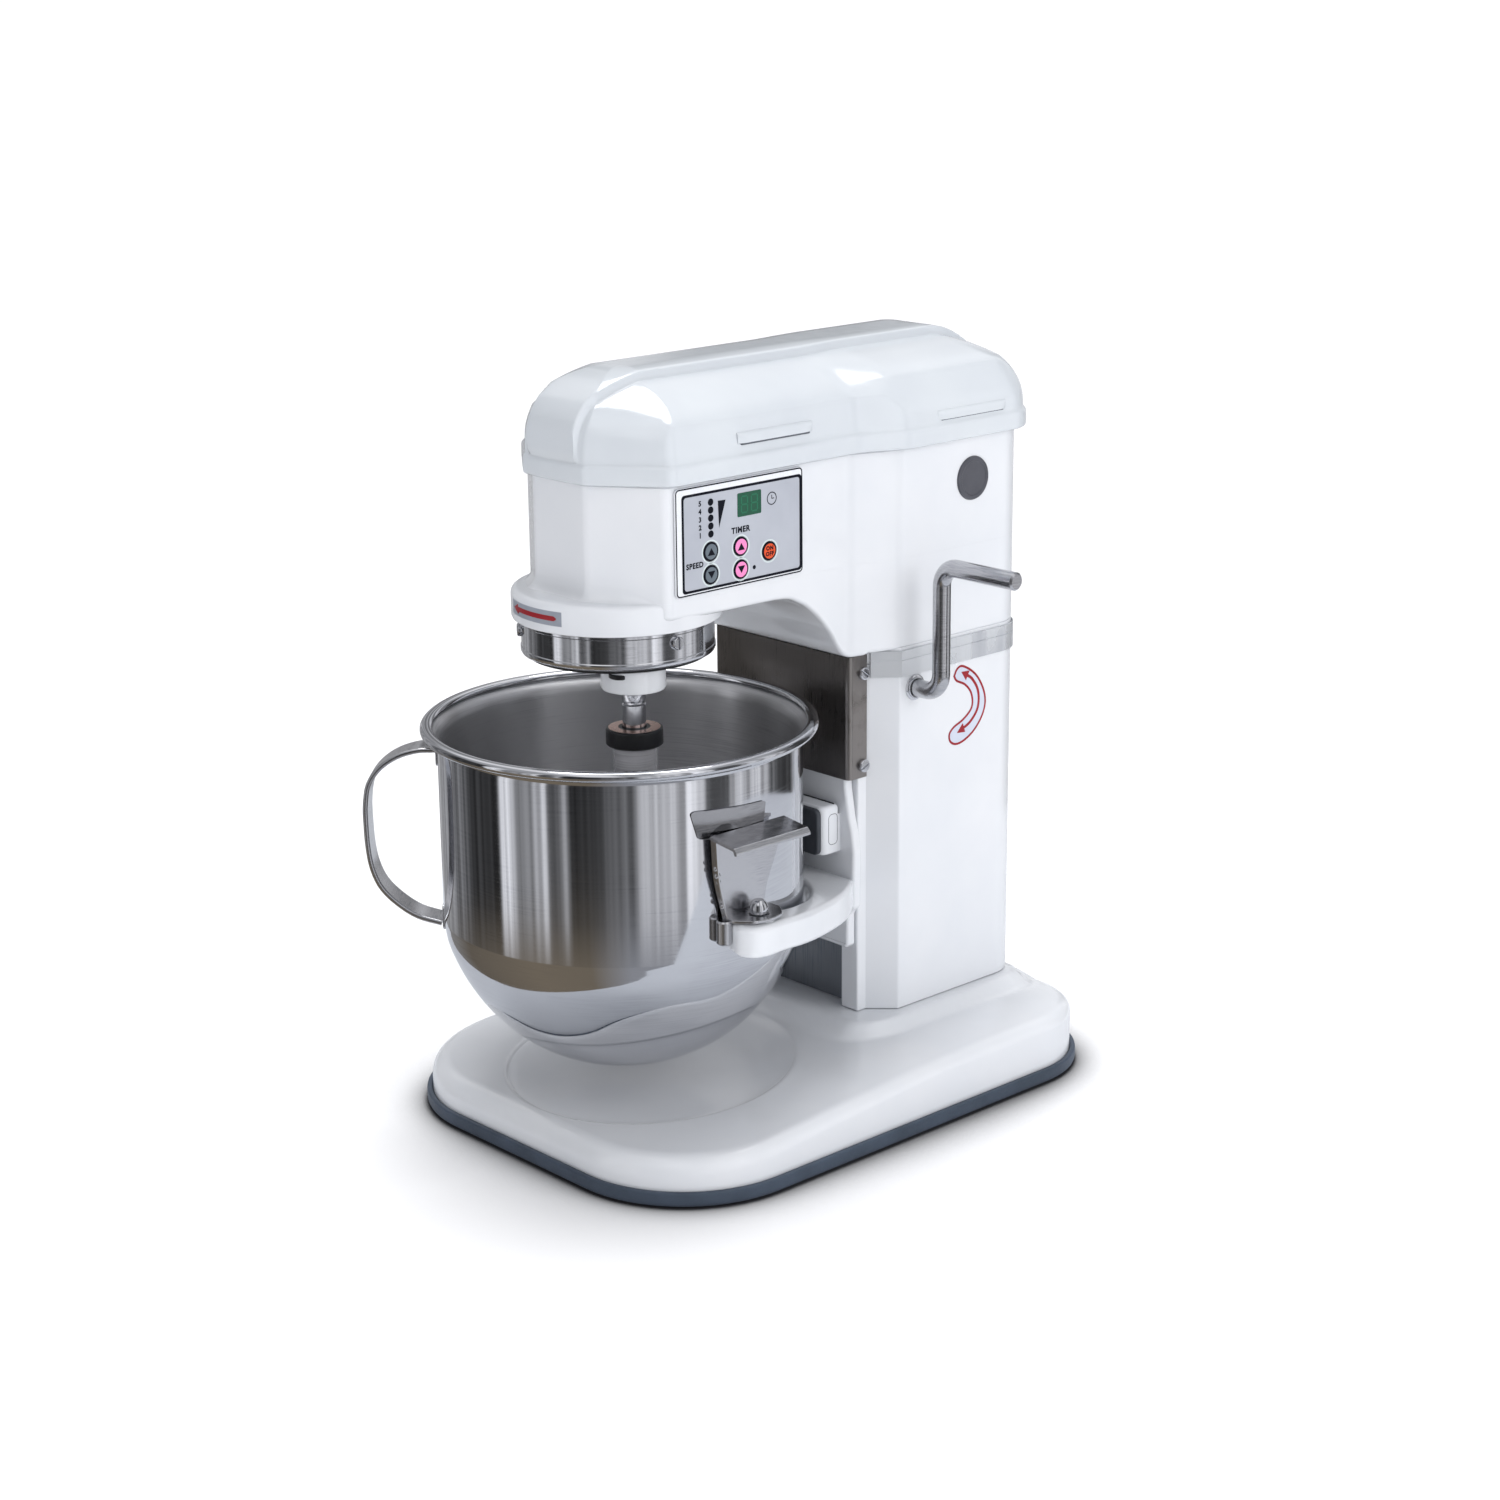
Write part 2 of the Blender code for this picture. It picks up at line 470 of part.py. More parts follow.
def build_drive():
    belt = node("drive_belt", prism(belt_outline(PULLEY_R + 1.6, MOTOR_PULLEY_R + 1.6), 373.8, 382.2), BLACK)
    cut(belt, prism(belt_outline(PULLEY_R + 0.1, MOTOR_PULLEY_R + 0.1), 370.0, 385.0))
    motor = node("motor_can", cyl(0, MOTOR_Y, MOTOR_R, 262.0, 352.0, 28), GREY)
    join(motor, cyl(0, MOTOR_Y, 14.0, 350.0, 358.0, 20), cyl(0, MOTOR_Y, 30.0, 256.0, 264.0, 20))
    cut(motor, cyl(0, MOTOR_Y, 5.3, 300.0, 380.0, 16))
    node("motor_shaft", cyl(0, MOTOR_Y, 5.0, 302.0, 384.5, 16), STEEL)
    r = MOTOR_PULLEY_R
    prof = [(5.3, 372.2), (r + 2, 372.2), (r + 2, 373.2), (r - 0.6, 373.2), (r - 0.6, 382.8),
            (r + 2, 382.8), (r + 2, 383.8), (5.3, 383.8)]
    node("motor_pulley", revolve(prof, 0, MOTOR_Y, 24), CASTGREY)
    bracket = node("motor_plate", box(-50.5, 50.5, 54.0, 144.0, 358.6, 362.0), DARKSTEEL)
    cut(bracket, cyl(0, MOTOR_Y, 8.0, 350, 370, 16))
    for x0, slot, tag in ((62.6, 67.0, "right"), (-68.0, -70.0, "left")):
        plug = node("brush_plug_%s" % tag, cyl_x(PLUG_Y, PLUG_Z, 12.5, x0, x0 + 5.4, 24), GREY)
        cut(plug, box(slot, slot + 3.0, PLUG_Y - 10.7, PLUG_Y + 10.7, PLUG_Z - 1.2, PLUG_Z + 1.2))


# ---- controls -----------------------------------------------------------------------------------------
def build_panel():
    panel = node("panel_overlay", box(56.9, 58.0, PANEL_Y0, PANEL_Y1, PANEL_Z0, PANEL_Z1), PANEL)
    for y, z in BUTTONS.values():
        cut(panel, cyl_x(y, z, 5.5, 50, 65, 16))
    cut(panel, box(57.4, 60, -63.8, -46.1, 344.2, 357.6))
    node("panel_display", box(57.7, 58.2, -63.4, -46.5, 344.6, 357.2), GLASSY)
    node("panel_board", box(50.2, 51.8, -97.5, -25.0, 314.0, 359.5), GREEN)
    for name, (y, z) in BUTTONS.items():
        mat = RED if name == "power" else PINK if name.startswith("timer") else SLATE
        node("button_" + name, cyl_x(y, z, 5.1, BUTTON_X, 58.6, 16), mat)


# ---- bowl lift --------------------------------------------------------------------------------------------
def yoke_plan():
    """Fork seen from above: two arms round the bowl that meet at the column."""
    outer = [(104.0, -112.5), (111.5, -114.5), (118.0, -111.5), (120.9, -105.0), (120.6, -97.0),
             (117.5, -86.0), (112.5, -70.0), (101.5, -45.0), (82.0, -10.0), (66.0, 12.0), (56.5, 22.9),
             (53.0, 29.0)]
    inner = [polar(101.0, a) for a in (-8.0, -3, 3, 9, 16, 26, 36, 46, 56, 66, 76)]
    right = inner + [(0.0, BOWL_Y + 101.0)]
    pts = outer[::-1] + right
    left = [(-x, y) for x, y in reversed(pts[:-1])]
    return pts + left


def build_lift():
    yoke = node("bowl_yoke", prism(yoke_plan(), 90.0, 160.0), WHITE)
    side = [(29.1, 106.5), (29.1, 125.0), (22.9, 125.2), (-60.0, 140.0), (-82.0, 146.0), (-125.0, 146.0),
            (-125.0, 129.0), (-80.0, 126.0), (22.9, 106.5)]
    keep_inside(yoke, prism_x(side, -130, 130))
    upright = both_sides([(52, 83), (52, 104), (56.5, 108), (57.0, 140), (55.4, 152), (53.0, 160),
                          (50.0, 178), (50.0, 225)])
    join(yoke, prism_y(upright, 22.9, 29.1), box(-46.5, 46.5, 8.5, 24.0, 139.5, 162.2),
         box(-46.5, 46.5, 8.5, 20.7, 150.0, 168.0),
         box(-12, 12, 28.0, 45.0, 205.0, 225.0))
    for sx in (-1, 1):
        cut(yoke, cyl(sx * PIN_X, BOWL_Y, 4.3, 138.0, 150.0, 16))
    node("bowl_rest_pad", box(-46.0, 46.0, 5.3, 8.2, 140.5, 167.0), RUBBER)
    pin = [(4.0, 138.6), (4.0, 149.0), (4.9, 150.6), (4.9, 152.6), (3.2, 155.9)]
    for x, tag in ((PIN_X, "right"), (-PIN_X, "left")):
        node("locating_pin_%s" % tag, turned_solid(pin, x, BOWL_Y, 16), STEEL)
    build_rack_and_pinion()


def build_rack_and_pinion():
    """Rack on the back of the yoke and the pinion on the crank shaft, inside the column."""
    m, teeth, back = RACK_MODULE, 9, 45.3
    pitch = math.pi * m
    root = CRANK_Y - PINION_TEETH * m / 2.0 - 1.25 * m
    tip = root + 2.1 * m
    foot, top = 203.0, CRANK_Z + pitch + 2.2
    wide, narrow = 0.25 * pitch + 0.455 * m - 0.12, 0.25 * pitch - 0.31 * m - 0.12
    pts = [(back, foot), (root, foot)]
    for k in range(teeth):
        z = CRANK_Z + (k - 7) * pitch
        pts += [(root, z - wide), (tip, z - narrow), (tip, z + narrow), (root, z + wide)]
    pts += [(root, top), (back, top)]
    node("lift_rack", prism_x(pts, -5.0, 5.0), STEEL)
    # a space of the pinion faces the rack tooth at the height of the crank axis
    outline = gear_outline(PINION_TEETH, m, 0.24, ded=1.2)
    pinion_plan = turned(outline, 180.0 + 180.0 / PINION_TEETH, CRANK_Y, CRANK_Z)
    pinion = node("lift_pinion", prism_x(pinion_plan, -6.0, 6.0), BRASS)
    cut(pinion, cyl_x(CRANK_Y, CRANK_Z, 4.1, -20, 20, 16))
    bush = node("crank_bush", cyl_x(CRANK_Y, CRANK_Z, 6.6, 56.0, 67.4, 20), BRASS)
    join(bush, cyl_x(CRANK_Y, CRANK_Z, 7.7, 66.8, 68.4, 20))
    cut(bush, cyl_x(CRANK_Y, CRANK_Z, 5.1, 50, 75, 20))


def bent_bar(path, r):
    """Round bar along points in the plane y = CRANK_Y, from a bevelled curve."""
    curve = bpy.data.curves.new("bar", "CURVE")
    curve.dimensions = "3D"
    curve.bevel_depth = r
    curve.bevel_resolution = 2
    curve.use_fill_caps = True
    line = curve.splines.new("POLY")
    line.points.add(len(path) - 1)
    for point, (x, z) in zip(line.points, path):
        point.co = (x, CRANK_Y, z, 1.0)
    ob = bpy.data.objects.new("bar", curve)
    TOOLS.objects.link(ob)
    graph = bpy.context.evaluated_depsgraph_get()
    mesh = bpy.data.meshes.new_from_object(ob.evaluated_get(graph))
    bpy.data.objects.remove(ob, do_unlink=True)
    bm = bmesh.new()
    bm.from_mesh(mesh)
    return bm


def build_crank():
    """Shaft, arm and grip bent from one bar, with a turned-down journal inside the column."""
    shaft = node("crank_handle", cyl_x(CRANK_Y, CRANK_Z, 3.9, -11.0, 8.5, 14), STEEL)
    top = CRANK_Z + CRANK_ARM
    quarter = [math.radians(22.5 * k) for k in range(5)]
    r = BEND_R
    lower = [(CRANK_X - r + r * math.sin(a), CRANK_Z + r - r * math.cos(a)) for a in quarter]
    upper = [(CRANK_X + r - r * math.cos(a), top - r + r * math.sin(a)) for a in quarter]
    join(shaft, bent_bar([(8.0, CRANK_Z)] + lower + upper + [(CRANK_TIP_X, top)], CRANK_BAR))


# ---- guard ------------------------------------------------------------------------------------------------
def build_guard():
    g = node("splash_guard", box(-54.7, 54.7, 21.3, 35.2, 182.6, 252.9), DARKSTEEL)
    cut(g, box(-53.7, 53.7, 22.5, 40.0, 170.0, 260.0))
    for hole, head, shank, tag in ((50.0, 54.95, 49.0, "right"), (-60.0, -56.7, -55.5, "left")):
        for z, level in zip(GUARD_SCREW_Z, ("low", "high")):
            cut(g, cyl_x(GUARD_SCREW_Y, z, 1.8, hole, hole + 10.0, 8))
            screw = node("guard_screw_%s_%s" % (tag, level),
                         cyl_x(GUARD_SCREW_Y, z, 3.2, head, head + 1.75, 12), STEEL)
            join(screw, cyl_x(GUARD_SCREW_Y, z, 1.5, shank, shank + 6.5, 8))


# ---- bowl -------------------------------------------------------------------------------------------------
def offset(path, t):
    """Points moved sideways by t, to the left of the direction of travel."""
    out = []
    for i, (x, z) in enumerate(path):
        a, b = path[max(0, i - 1)], path[min(len(path) - 1, i + 1)]
        run = math.hypot(b[0] - a[0], b[1] - a[1])
        out.append((x + t * (b[1] - a[1]) / run, z - t * (b[0] - a[0]) / run))
    return out


def build_bowl():
    outer = [(BOWL_R, 206.0), (BOWL_R, 126.0), (96.6, 113.5), (92.6, 102.0), (86.6, 90.0), (78.6, 78.0),
             (68.0, 66.0), (55.5, 56.0), (42.0, 48.6), (27.0, 44.2), (14.0, BOWL_BOTTOM)]
    rim = [(99.0, 222.0), (101.4, 226.4), (104.6, 226.2), (BOWL_RIM_R, BOWL_RIM_Z), (105.6, 232.0),
           (102.4, 232.5), (98.6, 228.8), (96.9, 222.0)]
    profile = outer[::-1] + rim + offset(outer, BOWL_WALL)
    node("mixing_bowl", turned_solid(profile, 0.0, BOWL_Y, 40), STEEL)
    for side, tag in ((1, "right"), (-1, "left")):
        build_bracket(side, tag)
    build_bowl_handle()


def build_bracket(side, tag):
    """Ear welded on the bowl: grip plate on top, upright, and a foot with the locating hole."""
    y0, y1 = BOWL_Y - 25.0, BOWL_Y + 25.0
    up = [(y0, 193.0), (y0 + 2, 170.0), (y0 + 7.5, 148.0), (y0 + 7.5, 146.4), (y1 - 15.0, 146.4),
          (y1 - 12, 160.0), (y1 - 5.0, 176.0), (y1, 193.0)]
    bracket = node("bowl_bracket_%s" % tag, prism_x(up, side * 98.9, side * 100.4), STEEL)
    foot = [(98.9, -114.0), (107.0, -114.0), (115.5, -107.0), (118.0, -97.0), (115.5, -87.0), (107.0, -81.0),
            (98.9, -81.0)]
    top = prism_x([(y0, 191.8), (y1 + 3, 191.8), (y1 + 3, 193.4), (y0, 193.4)], side * 98.9, side * 118.6)
    lip = prism_x([(y0, 187.4), (y1 + 3, 187.4), (y1 + 3, 193.4), (y0, 193.4)], side * 117.0, side * 118.6)
    join(bracket, top, lip, prism([(side * x, y) for x, y in foot], 146.4, 148.2))
    cut(bracket, cyl(side * PIN_X, BOWL_Y, 5.4, 140.0, 150.0, 20))


def build_bowl_handle():
    """Bent strap on the far side of the bowl from the panel; both ends are flat against the wall."""
    half, thick, wall = 9.0, 1.4, 99.1
    around = Matrix.Translation((0, BOWL_Y, 0)) @ Matrix.Rotation(math.radians(225.0), 4, "Z")
    path = [(wall, 215.8), (109.0, 215.4), (120.0, 212.0), (129.5, 205.5), (135.8, 196.5), (138.0, 185.0),
            (138.2, 174.0), (137.6, 160.0), (135.6, 148.0), (131.0, 137.5), (122.5, 128.5), (112.0, 121.5),
            (wall, 117.6)]
    outside, inside = offset(path, -thick), offset(path, thick)
    rings = []
    for i in range(len(path)):
        (ro, zo), (ri, zi) = outside[i], inside[i]
        if i in (0, len(path) - 1):
            ro = ri = wall
        rings.append([around @ Vector(p) for p in
                      ((ro, -half, zo), (ro, half, zo), (ri, half, zi), (ri, -half, zi))])
    node("bowl_handle", loft(rings), STEEL)


# ---- joint axes -------------------------------------------------------------------------------------------
def put_origins():
    """Moves the origin of each moving piece onto the axis that it turns about or slides along."""
    axes = {(0.0, BOWL_Y, 0.0): ["planet_carrier", "large_pulley"],
            (PAX, PAY, 0.0): ["planet_gear", "agitator_shaft", "agitator_collar", "flat_beater"],
            (0.0, MOTOR_Y, 0.0): ["motor_shaft", "motor_pulley"],
            (0.0, CRANK_Y, CRANK_Z): ["crank_handle", "lift_pinion"],
            (0.0, COL_FRONT, 0.0): ["bowl_yoke", "bowl_rest_pad", "lift_rack", "locating_pin_right",
                                    "locating_pin_left"],
            (0.0, BOWL_Y, BOWL_BOTTOM): ["mixing_bowl", "bowl_handle", "bowl_bracket_right",
                                         "bowl_bracket_left"]}
    for name, (y, z) in BUTTONS.items():
        axes[(BUTTON_X, y, z)] = ["button_" + name]
    for point, names in axes.items():
        place = Matrix.Translation(Vector(point) * MM)
        for name in names:
            ob = bpy.data.objects[name]
            ob.data.transform(place.inverted())
            ob.matrix_world = place


def shade():
    """Round faces smooth, real edges sharp."""
    for ob in PARTS.objects:
        ob.data.shade_smooth()
        ob.data.set_sharp_from_angle(angle=math.radians(35.0))


build_base()
build_column()
build_upper_body()
build_band()
build_cover()
build_planetary()
build_beater()
build_drive()
build_panel()
build_lift()
build_crank()
build_guard()
build_bowl()
put_origins()
shade()
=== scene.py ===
"""Looks of the bench planetary mixer: fine surfaces, finishes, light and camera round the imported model.

Lengths in the code are millimetres in the frame of the model: +Z up, the bowl towards -Y, the key
panel and the crank on +X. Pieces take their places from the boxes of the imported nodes.
"""
import math

import bmesh
import bpy
import numpy as np
from mathutils import Matrix, Vector
from mathutils.geometry import tessellate_polygon


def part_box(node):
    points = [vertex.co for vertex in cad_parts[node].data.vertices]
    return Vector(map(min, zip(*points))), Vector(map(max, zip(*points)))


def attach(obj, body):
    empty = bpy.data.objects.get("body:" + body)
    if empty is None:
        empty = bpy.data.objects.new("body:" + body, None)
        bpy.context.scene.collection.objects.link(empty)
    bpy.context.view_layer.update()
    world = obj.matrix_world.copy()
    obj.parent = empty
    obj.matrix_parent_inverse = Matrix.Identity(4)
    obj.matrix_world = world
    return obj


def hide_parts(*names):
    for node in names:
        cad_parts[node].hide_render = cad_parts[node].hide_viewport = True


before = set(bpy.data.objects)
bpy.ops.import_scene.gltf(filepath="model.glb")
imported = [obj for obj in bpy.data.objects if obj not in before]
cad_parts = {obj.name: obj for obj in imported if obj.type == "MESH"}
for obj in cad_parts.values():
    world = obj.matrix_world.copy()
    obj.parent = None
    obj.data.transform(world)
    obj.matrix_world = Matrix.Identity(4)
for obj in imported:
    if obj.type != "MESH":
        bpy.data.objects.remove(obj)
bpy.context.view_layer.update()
MM = 0.001
SIDES = ((-1, "left"), (1, "right"))


def span(node):
    """Lowest and highest corner of a node, in millimetres."""
    low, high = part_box(node)
    return Vector(low) / MM, Vector(high) / MM


def middle(node):
    low, high = span(node)
    return (low + high) / 2


# ---- points and outlines ------------------------------------------------------------------
def polar(r, degrees, cx=0, cy=0):
    a = math.radians(degrees)
    return cx + r * math.cos(a), cy + r * math.sin(a)


def arc(cx, cy, r, a0, a1, n):
    """Points on a circle from angle a0 to a1, in degrees."""
    return [polar(r, a0 + (a1 - a0) * k / n, cx, cy) for k in range(n + 1)]


def circle(cx, cy, r, n):
    return arc(cx, cy, r, 0, 360, n)[:-1]


def rect(x0, x1, y0, y1):
    return [(x0, y0), (x1, y0), (x1, y1), (x0, y1)]


def fillet(points, radius, steps=6, closed=True):
    """Outline with its corners rounded; radius is one value, or one for each point."""
    out = []
    n = len(points)
    for i, p in enumerate(points):
        r = radius[i] if isinstance(radius, (list, tuple)) else radius
        if r <= 0 or (not closed and i in (0, n - 1)):
            out.append(tuple(p))
            continue
        a, b, c = Vector(points[i - 1]), Vector(p), Vector(points[(i + 1) % n])
        u, v = (a - b), (c - b)
        reach = min(u.length, v.length) * 0.49
        u.normalize()
        v.normalize()
        angle = math.acos(max(-1, min(1, u.dot(v))))
        if angle > math.pi - 0.02:
            out.append(tuple(p))
            continue
        cut = min(r / math.tan(angle / 2), reach)
        r = cut * math.tan(angle / 2)
        centre = b + (u + v).normalized() * (r / math.sin(angle / 2))
        first, last = b + u * cut - centre, b + v * cut - centre
        a0 = math.atan2(first.y, first.x)
        turn = (math.atan2(last.y, last.x) - a0 + math.pi) % (2 * math.pi) - math.pi
        for k in range(steps + 1):
            a = a0 + turn * k / steps
            out.append((centre.x + r * math.cos(a), centre.y + r * math.sin(a)))
    return out


def spline(points, n):
    """Catmull-Rom curve through the points, n steps to each span."""
    pts = [Vector(p) for p in points]
    pts = [2 * pts[0] - pts[1]] + pts + [2 * pts[-1] - pts[-2]]
    out = []
    for a, b, c, d in zip(pts, pts[1:], pts[2:], pts[3:]):
        for k in range(n):
            t = k / n
            out.append(0.5 * (2 * b + (c - a) * t + (2 * a - 5 * b + 4 * c - d) * t * t
                              + (3 * b - a - 3 * c + d) * t ** 3))
    return [tuple(p) for p in out] + [tuple(pts[-2])]


def subdivided(points, step, closed=True):
    """Outline with no straight run longer than step."""
    out = []
    for a, b in zip(points, points[1:] + (points[:1] if closed else [])):
        a, b = Vector(a), Vector(b)
        n = max(1, math.ceil((b - a).length / step))
        out += [tuple(a.lerp(b, k / n)) for k in range(n)]
    return out if closed else out + [tuple(points[-1])]


def both_sides(right):
    """Closed outline from its right half, which runs from front to back."""
    return right + [(-x, y) for x, y in reversed(right)]


def inset(points, d):
    """Closed counter-clockwise outline moved inwards by d."""
    p = np.array(points, float)
    e = np.roll(p, -1, 0) - p
    n = np.stack([-e[:, 1], e[:, 0]], 1) / np.maximum(np.linalg.norm(e, axis=1), 1e-9)[:, None]
    before = np.roll(n, 1, 0)
    m = (n + before) / (1 + np.sum(n * before, 1))[:, None].clip(0.3)
    return [tuple(q) for q in p + m * d]


def at_height(outline, z):
    return [(x, y, z) for x, y in outline]


def edge_rings(outline, height, r, steps, up=1):
    """Rings round an edge rounded by r: up is 1 for a lower edge and -1 for an upper one.

    height takes a point on the ring and the point of the outline that it comes from.
    """
    rings = []
    for k in range(steps + 1 if r > 0 else 1):
        a = math.pi / 2 * k / steps
        inwards, along = 1 - math.sin(a), 1 - math.cos(a)
        if up < 0:
            inwards, along = along, inwards
        ring = inset(outline, r * inwards)
        rings.append([(*p, height(p, q) + up * r * along) for p, q in zip(ring, outline)])
    return rings


def smooth(t):
    t = min(1, max(0, t))
    return t * t * (3 - 2 * t)


def curve_at(table, x):
    """Value at x on straight lines through (x, value) pairs."""
    xs, ys = zip(*table)
    return float(np.interp(x, xs, ys))


# ---- pieces ---------------------------------------------------------------------------------
def linked(name, data):
    """New object in the scene."""
    ob = bpy.data.objects.new(name, data)
    bpy.context.scene.collection.objects.link(ob)
    return ob


def mesh_of(name, bm):
    """Mesh of a bmesh, which is then freed."""
    mesh = bpy.data.meshes.new(name)
    bm.to_mesh(mesh)
    bm.free()
    return mesh


def piece(name, bm, finish, node=None, body="machine", sharp=35):
    """Makes an object from a bmesh in millimetres, shades it and hands it to the frame."""
    bmesh.ops.remove_doubles(bm, verts=bm.verts, dist=0.0005)
    bmesh.ops.recalc_face_normals(bm, faces=bm.faces)
    bmesh.ops.scale(bm, vec=(MM, MM, MM), verts=bm.verts)
    ob = linked(name, mesh_of(name, bm))
    for material in finish if isinstance(finish, list) else [finish]:
        ob.data.materials.append(material)
    ob.data.shade_smooth()
    ob.data.set_sharp_from_angle(angle=math.radians(sharp))
    ob.modifiers.new("weighted", "WEIGHTED_NORMAL").keep_sharp = True
    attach(ob, body)
    if node:
        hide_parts(node)


def skin(bm, rings, closed=True, caps=(True, True), loop=False):
    """Quads between rings of equal point count. closed joins each ring, loop joins last to first."""
    rows = [[bm.verts.new(p) for p in ring] for ring in rings]
    n = len(rings[0])
    for a, b in zip(rows, rows[1:] + (rows[:1] if loop else [])):
        for k in range(n if closed else n - 1):
            m = (k + 1) % n
            bm.faces.new((a[k], a[m], b[m], b[k]))
    if closed and not loop:
        if caps[0]:
            bm.faces.new(rows[0][::-1])
        if caps[1]:
            bm.faces.new(rows[-1])
    return rows


def skinned(rings, loop=False):
    """New bmesh with a skin over closed rings."""
    bm = bmesh.new()
    skin(bm, rings, loop=loop)
    return bm


def lathe(profile, axis, n=96, closed=False, finish_of=None):
    """Turns (r, z) points about the vertical line through axis. Step k takes finish finish_of(k)."""
    bm = bmesh.new()
    rows = []
    for r, z in profile:
        if r < 1e-6:
            rows.append([bm.verts.new((axis[0], axis[1], z))] * n)
        else:
            rows.append([bm.verts.new(p) for p in at_height(circle(axis[0], axis[1], r, n), z)])
    for j in range(-1 if closed else 0, len(rows) - 1):
        a, b = rows[j], rows[j + 1]
        for k in range(n):
            m = (k + 1) % n
            corners = list(dict.fromkeys((a[k], a[m], b[m], b[k])))
            if len(corners) > 2:
                face = bm.faces.new(corners)
                face.material_index = finish_of(j) if finish_of else 0
    return bm


def slab(outline, z0, z1, r0=0, r1=0, steps=4):
    """Outline pulled up from z0 to z1 with its lower and upper edges rounded by r0 and r1."""
    return skinned(edge_rings(outline, lambda p, q: z0, r0, steps)
                   + edge_rings(outline, lambda p, q: z1, r1, steps, -1))


def box(x0, x1, y0, y1, z0, z1):
    return slab(rect(x0, x1, y0, y1), z0, z1)


def put(bm, matrix):
    """The bmesh, transformed."""
    bmesh.ops.transform(bm, matrix=matrix, verts=bm.verts)
    return bm


def moved(bm, x, y, z):
    return put(bm, Matrix.Translation((x, y, z)))


def spun(bm, degrees, axis):
    return put(bm, Matrix.Rotation(math.radians(degrees), 4, axis))


def to_side(bm, side):
    """Mirrors a shape of the right side where side is -1."""
    return put(bm, Matrix.Diagonal((side, 1, 1, 1)))


def turn_to_x(bm, x=0, y=0, z=0):
    """Stands a shape drawn in (Y, Z) up, so that its height runs along +X, and moves it."""
    return put(bm, Matrix(((0, 0, 1, x), (1, 0, 0, y), (0, 1, 0, z), (0, 0, 0, 1))))


def turn_to_y(bm, y=0):
    """Stands a shape drawn in (X, Z) up, so that its height runs along -Y."""
    return put(bm, Matrix(((1, 0, 0, 0), (0, 0, -1, y), (0, 1, 0, 0), (0, 0, 0, 1))))


def merged(*parts):
    """One bmesh from several."""
    out = bmesh.new()
    for part in parts:
        mesh = mesh_of("part", part)
        out.from_mesh(mesh)
        bpy.data.meshes.remove(mesh)
    return out


def evaluated(ob):
    """Bmesh of an object with its modifiers."""
    mesh = bpy.data.meshes.new_from_object(ob.evaluated_get(bpy.context.evaluated_depsgraph_get()))
    bm = bmesh.new()
    bm.from_mesh(mesh)
    bpy.data.meshes.remove(mesh)
    return bm


def cut_away(bm, tool):
    """The first bmesh minus the second."""
    bodies = []
    for part in (bm, tool):
        bmesh.ops.recalc_face_normals(part, faces=part.faces)
        bodies.append(linked("solid", mesh_of("solid", part)))
    cut = bodies[0].modifiers.new("cut", "BOOLEAN")
    cut.operation, cut.solver, cut.object = "DIFFERENCE", "EXACT", bodies[1]
    out = evaluated(bodies[0])
    for ob in bodies:
        mesh = ob.data
        bpy.data.objects.remove(ob)
        bpy.data.meshes.remove(mesh)
    return out


def from_curve(data, shift):
    """Bmesh of a curve or text, which is then removed."""
    ob = linked("flat", data)
    bm = evaluated(ob)
    bpy.data.objects.remove(ob)
    bpy.data.curves.remove(data)
    bmesh.ops.translate(bm, vec=shift, verts=bm.verts)
    bmesh.ops.remove_doubles(bm, verts=bm.verts, dist=0.0005)
    return bm


def tube(path, r, n=20, cap=0.6):
    """Round bar along 3D points, its ends bevelled by cap."""
    pts = [Vector(p) for p in path]
    last = len(pts) - 1
    ways = [(pts[min(i + 1, last)] - pts[max(i - 1, 0)]).normalized() for i in range(last + 1)]
    up = Vector((0, 0, 1)) if abs(ways[0].z) < 0.9 else Vector((0, 1, 0))
    side = ways[0].cross(up).normalized()
    rings = []
    for i, (p, t) in enumerate(zip(pts, ways)):
        side = (side - t * side.dot(t)).normalized()
        other = t.cross(side)
        ring = [p + side * x + other * y for x, y in circle(0, 0, r, n)]
        end = [p + (q - p) * (1 - cap / r) for q in ring]
        if i == 0:
            rings += [end, [q + t * cap for q in ring]]
        elif i == last:
            rings += [[q - t * cap for q in ring], end]
        else:
            rings.append(ring)
    return skinned(rings)


def flat_shape(outlines, thickness, edge=0):
    """Plate with holes: 2D outlines in millimetres, rounded edges, lying on z = 0."""
    curve = bpy.data.curves.new("flat", "CURVE")
    curve.dimensions = "2D"
    curve.fill_mode = "BOTH"
    curve.extrude = thickness / 2 - edge
    curve.bevel_depth = edge
    curve.bevel_resolution = 3
    curve.offset = -edge
    for outline in outlines:
        line = curve.splines.new("POLY")
        line.points.add(len(outline) - 1)
        for point, (x, y) in zip(line.points, outline):
            point.co = (x, y, 0, 1)
        line.use_cyclic_u = True
    return from_curve(curve, (0, 0, thickness / 2))


def lettering(text, size, x, y, thickness=0.04):
    """Generic printed word or digit, centred on (x, y)."""
    data = bpy.data.curves.new("text", "FONT")
    data.body = text
    data.size = size
    data.extrude = thickness / 2
    data.resolution_u = 3
    data.align_x, data.align_y = "CENTER", "CENTER"
    data.offset = size * 0.045
    data.space_character = 1.12
    return from_curve(data, (x, y, thickness / 2))


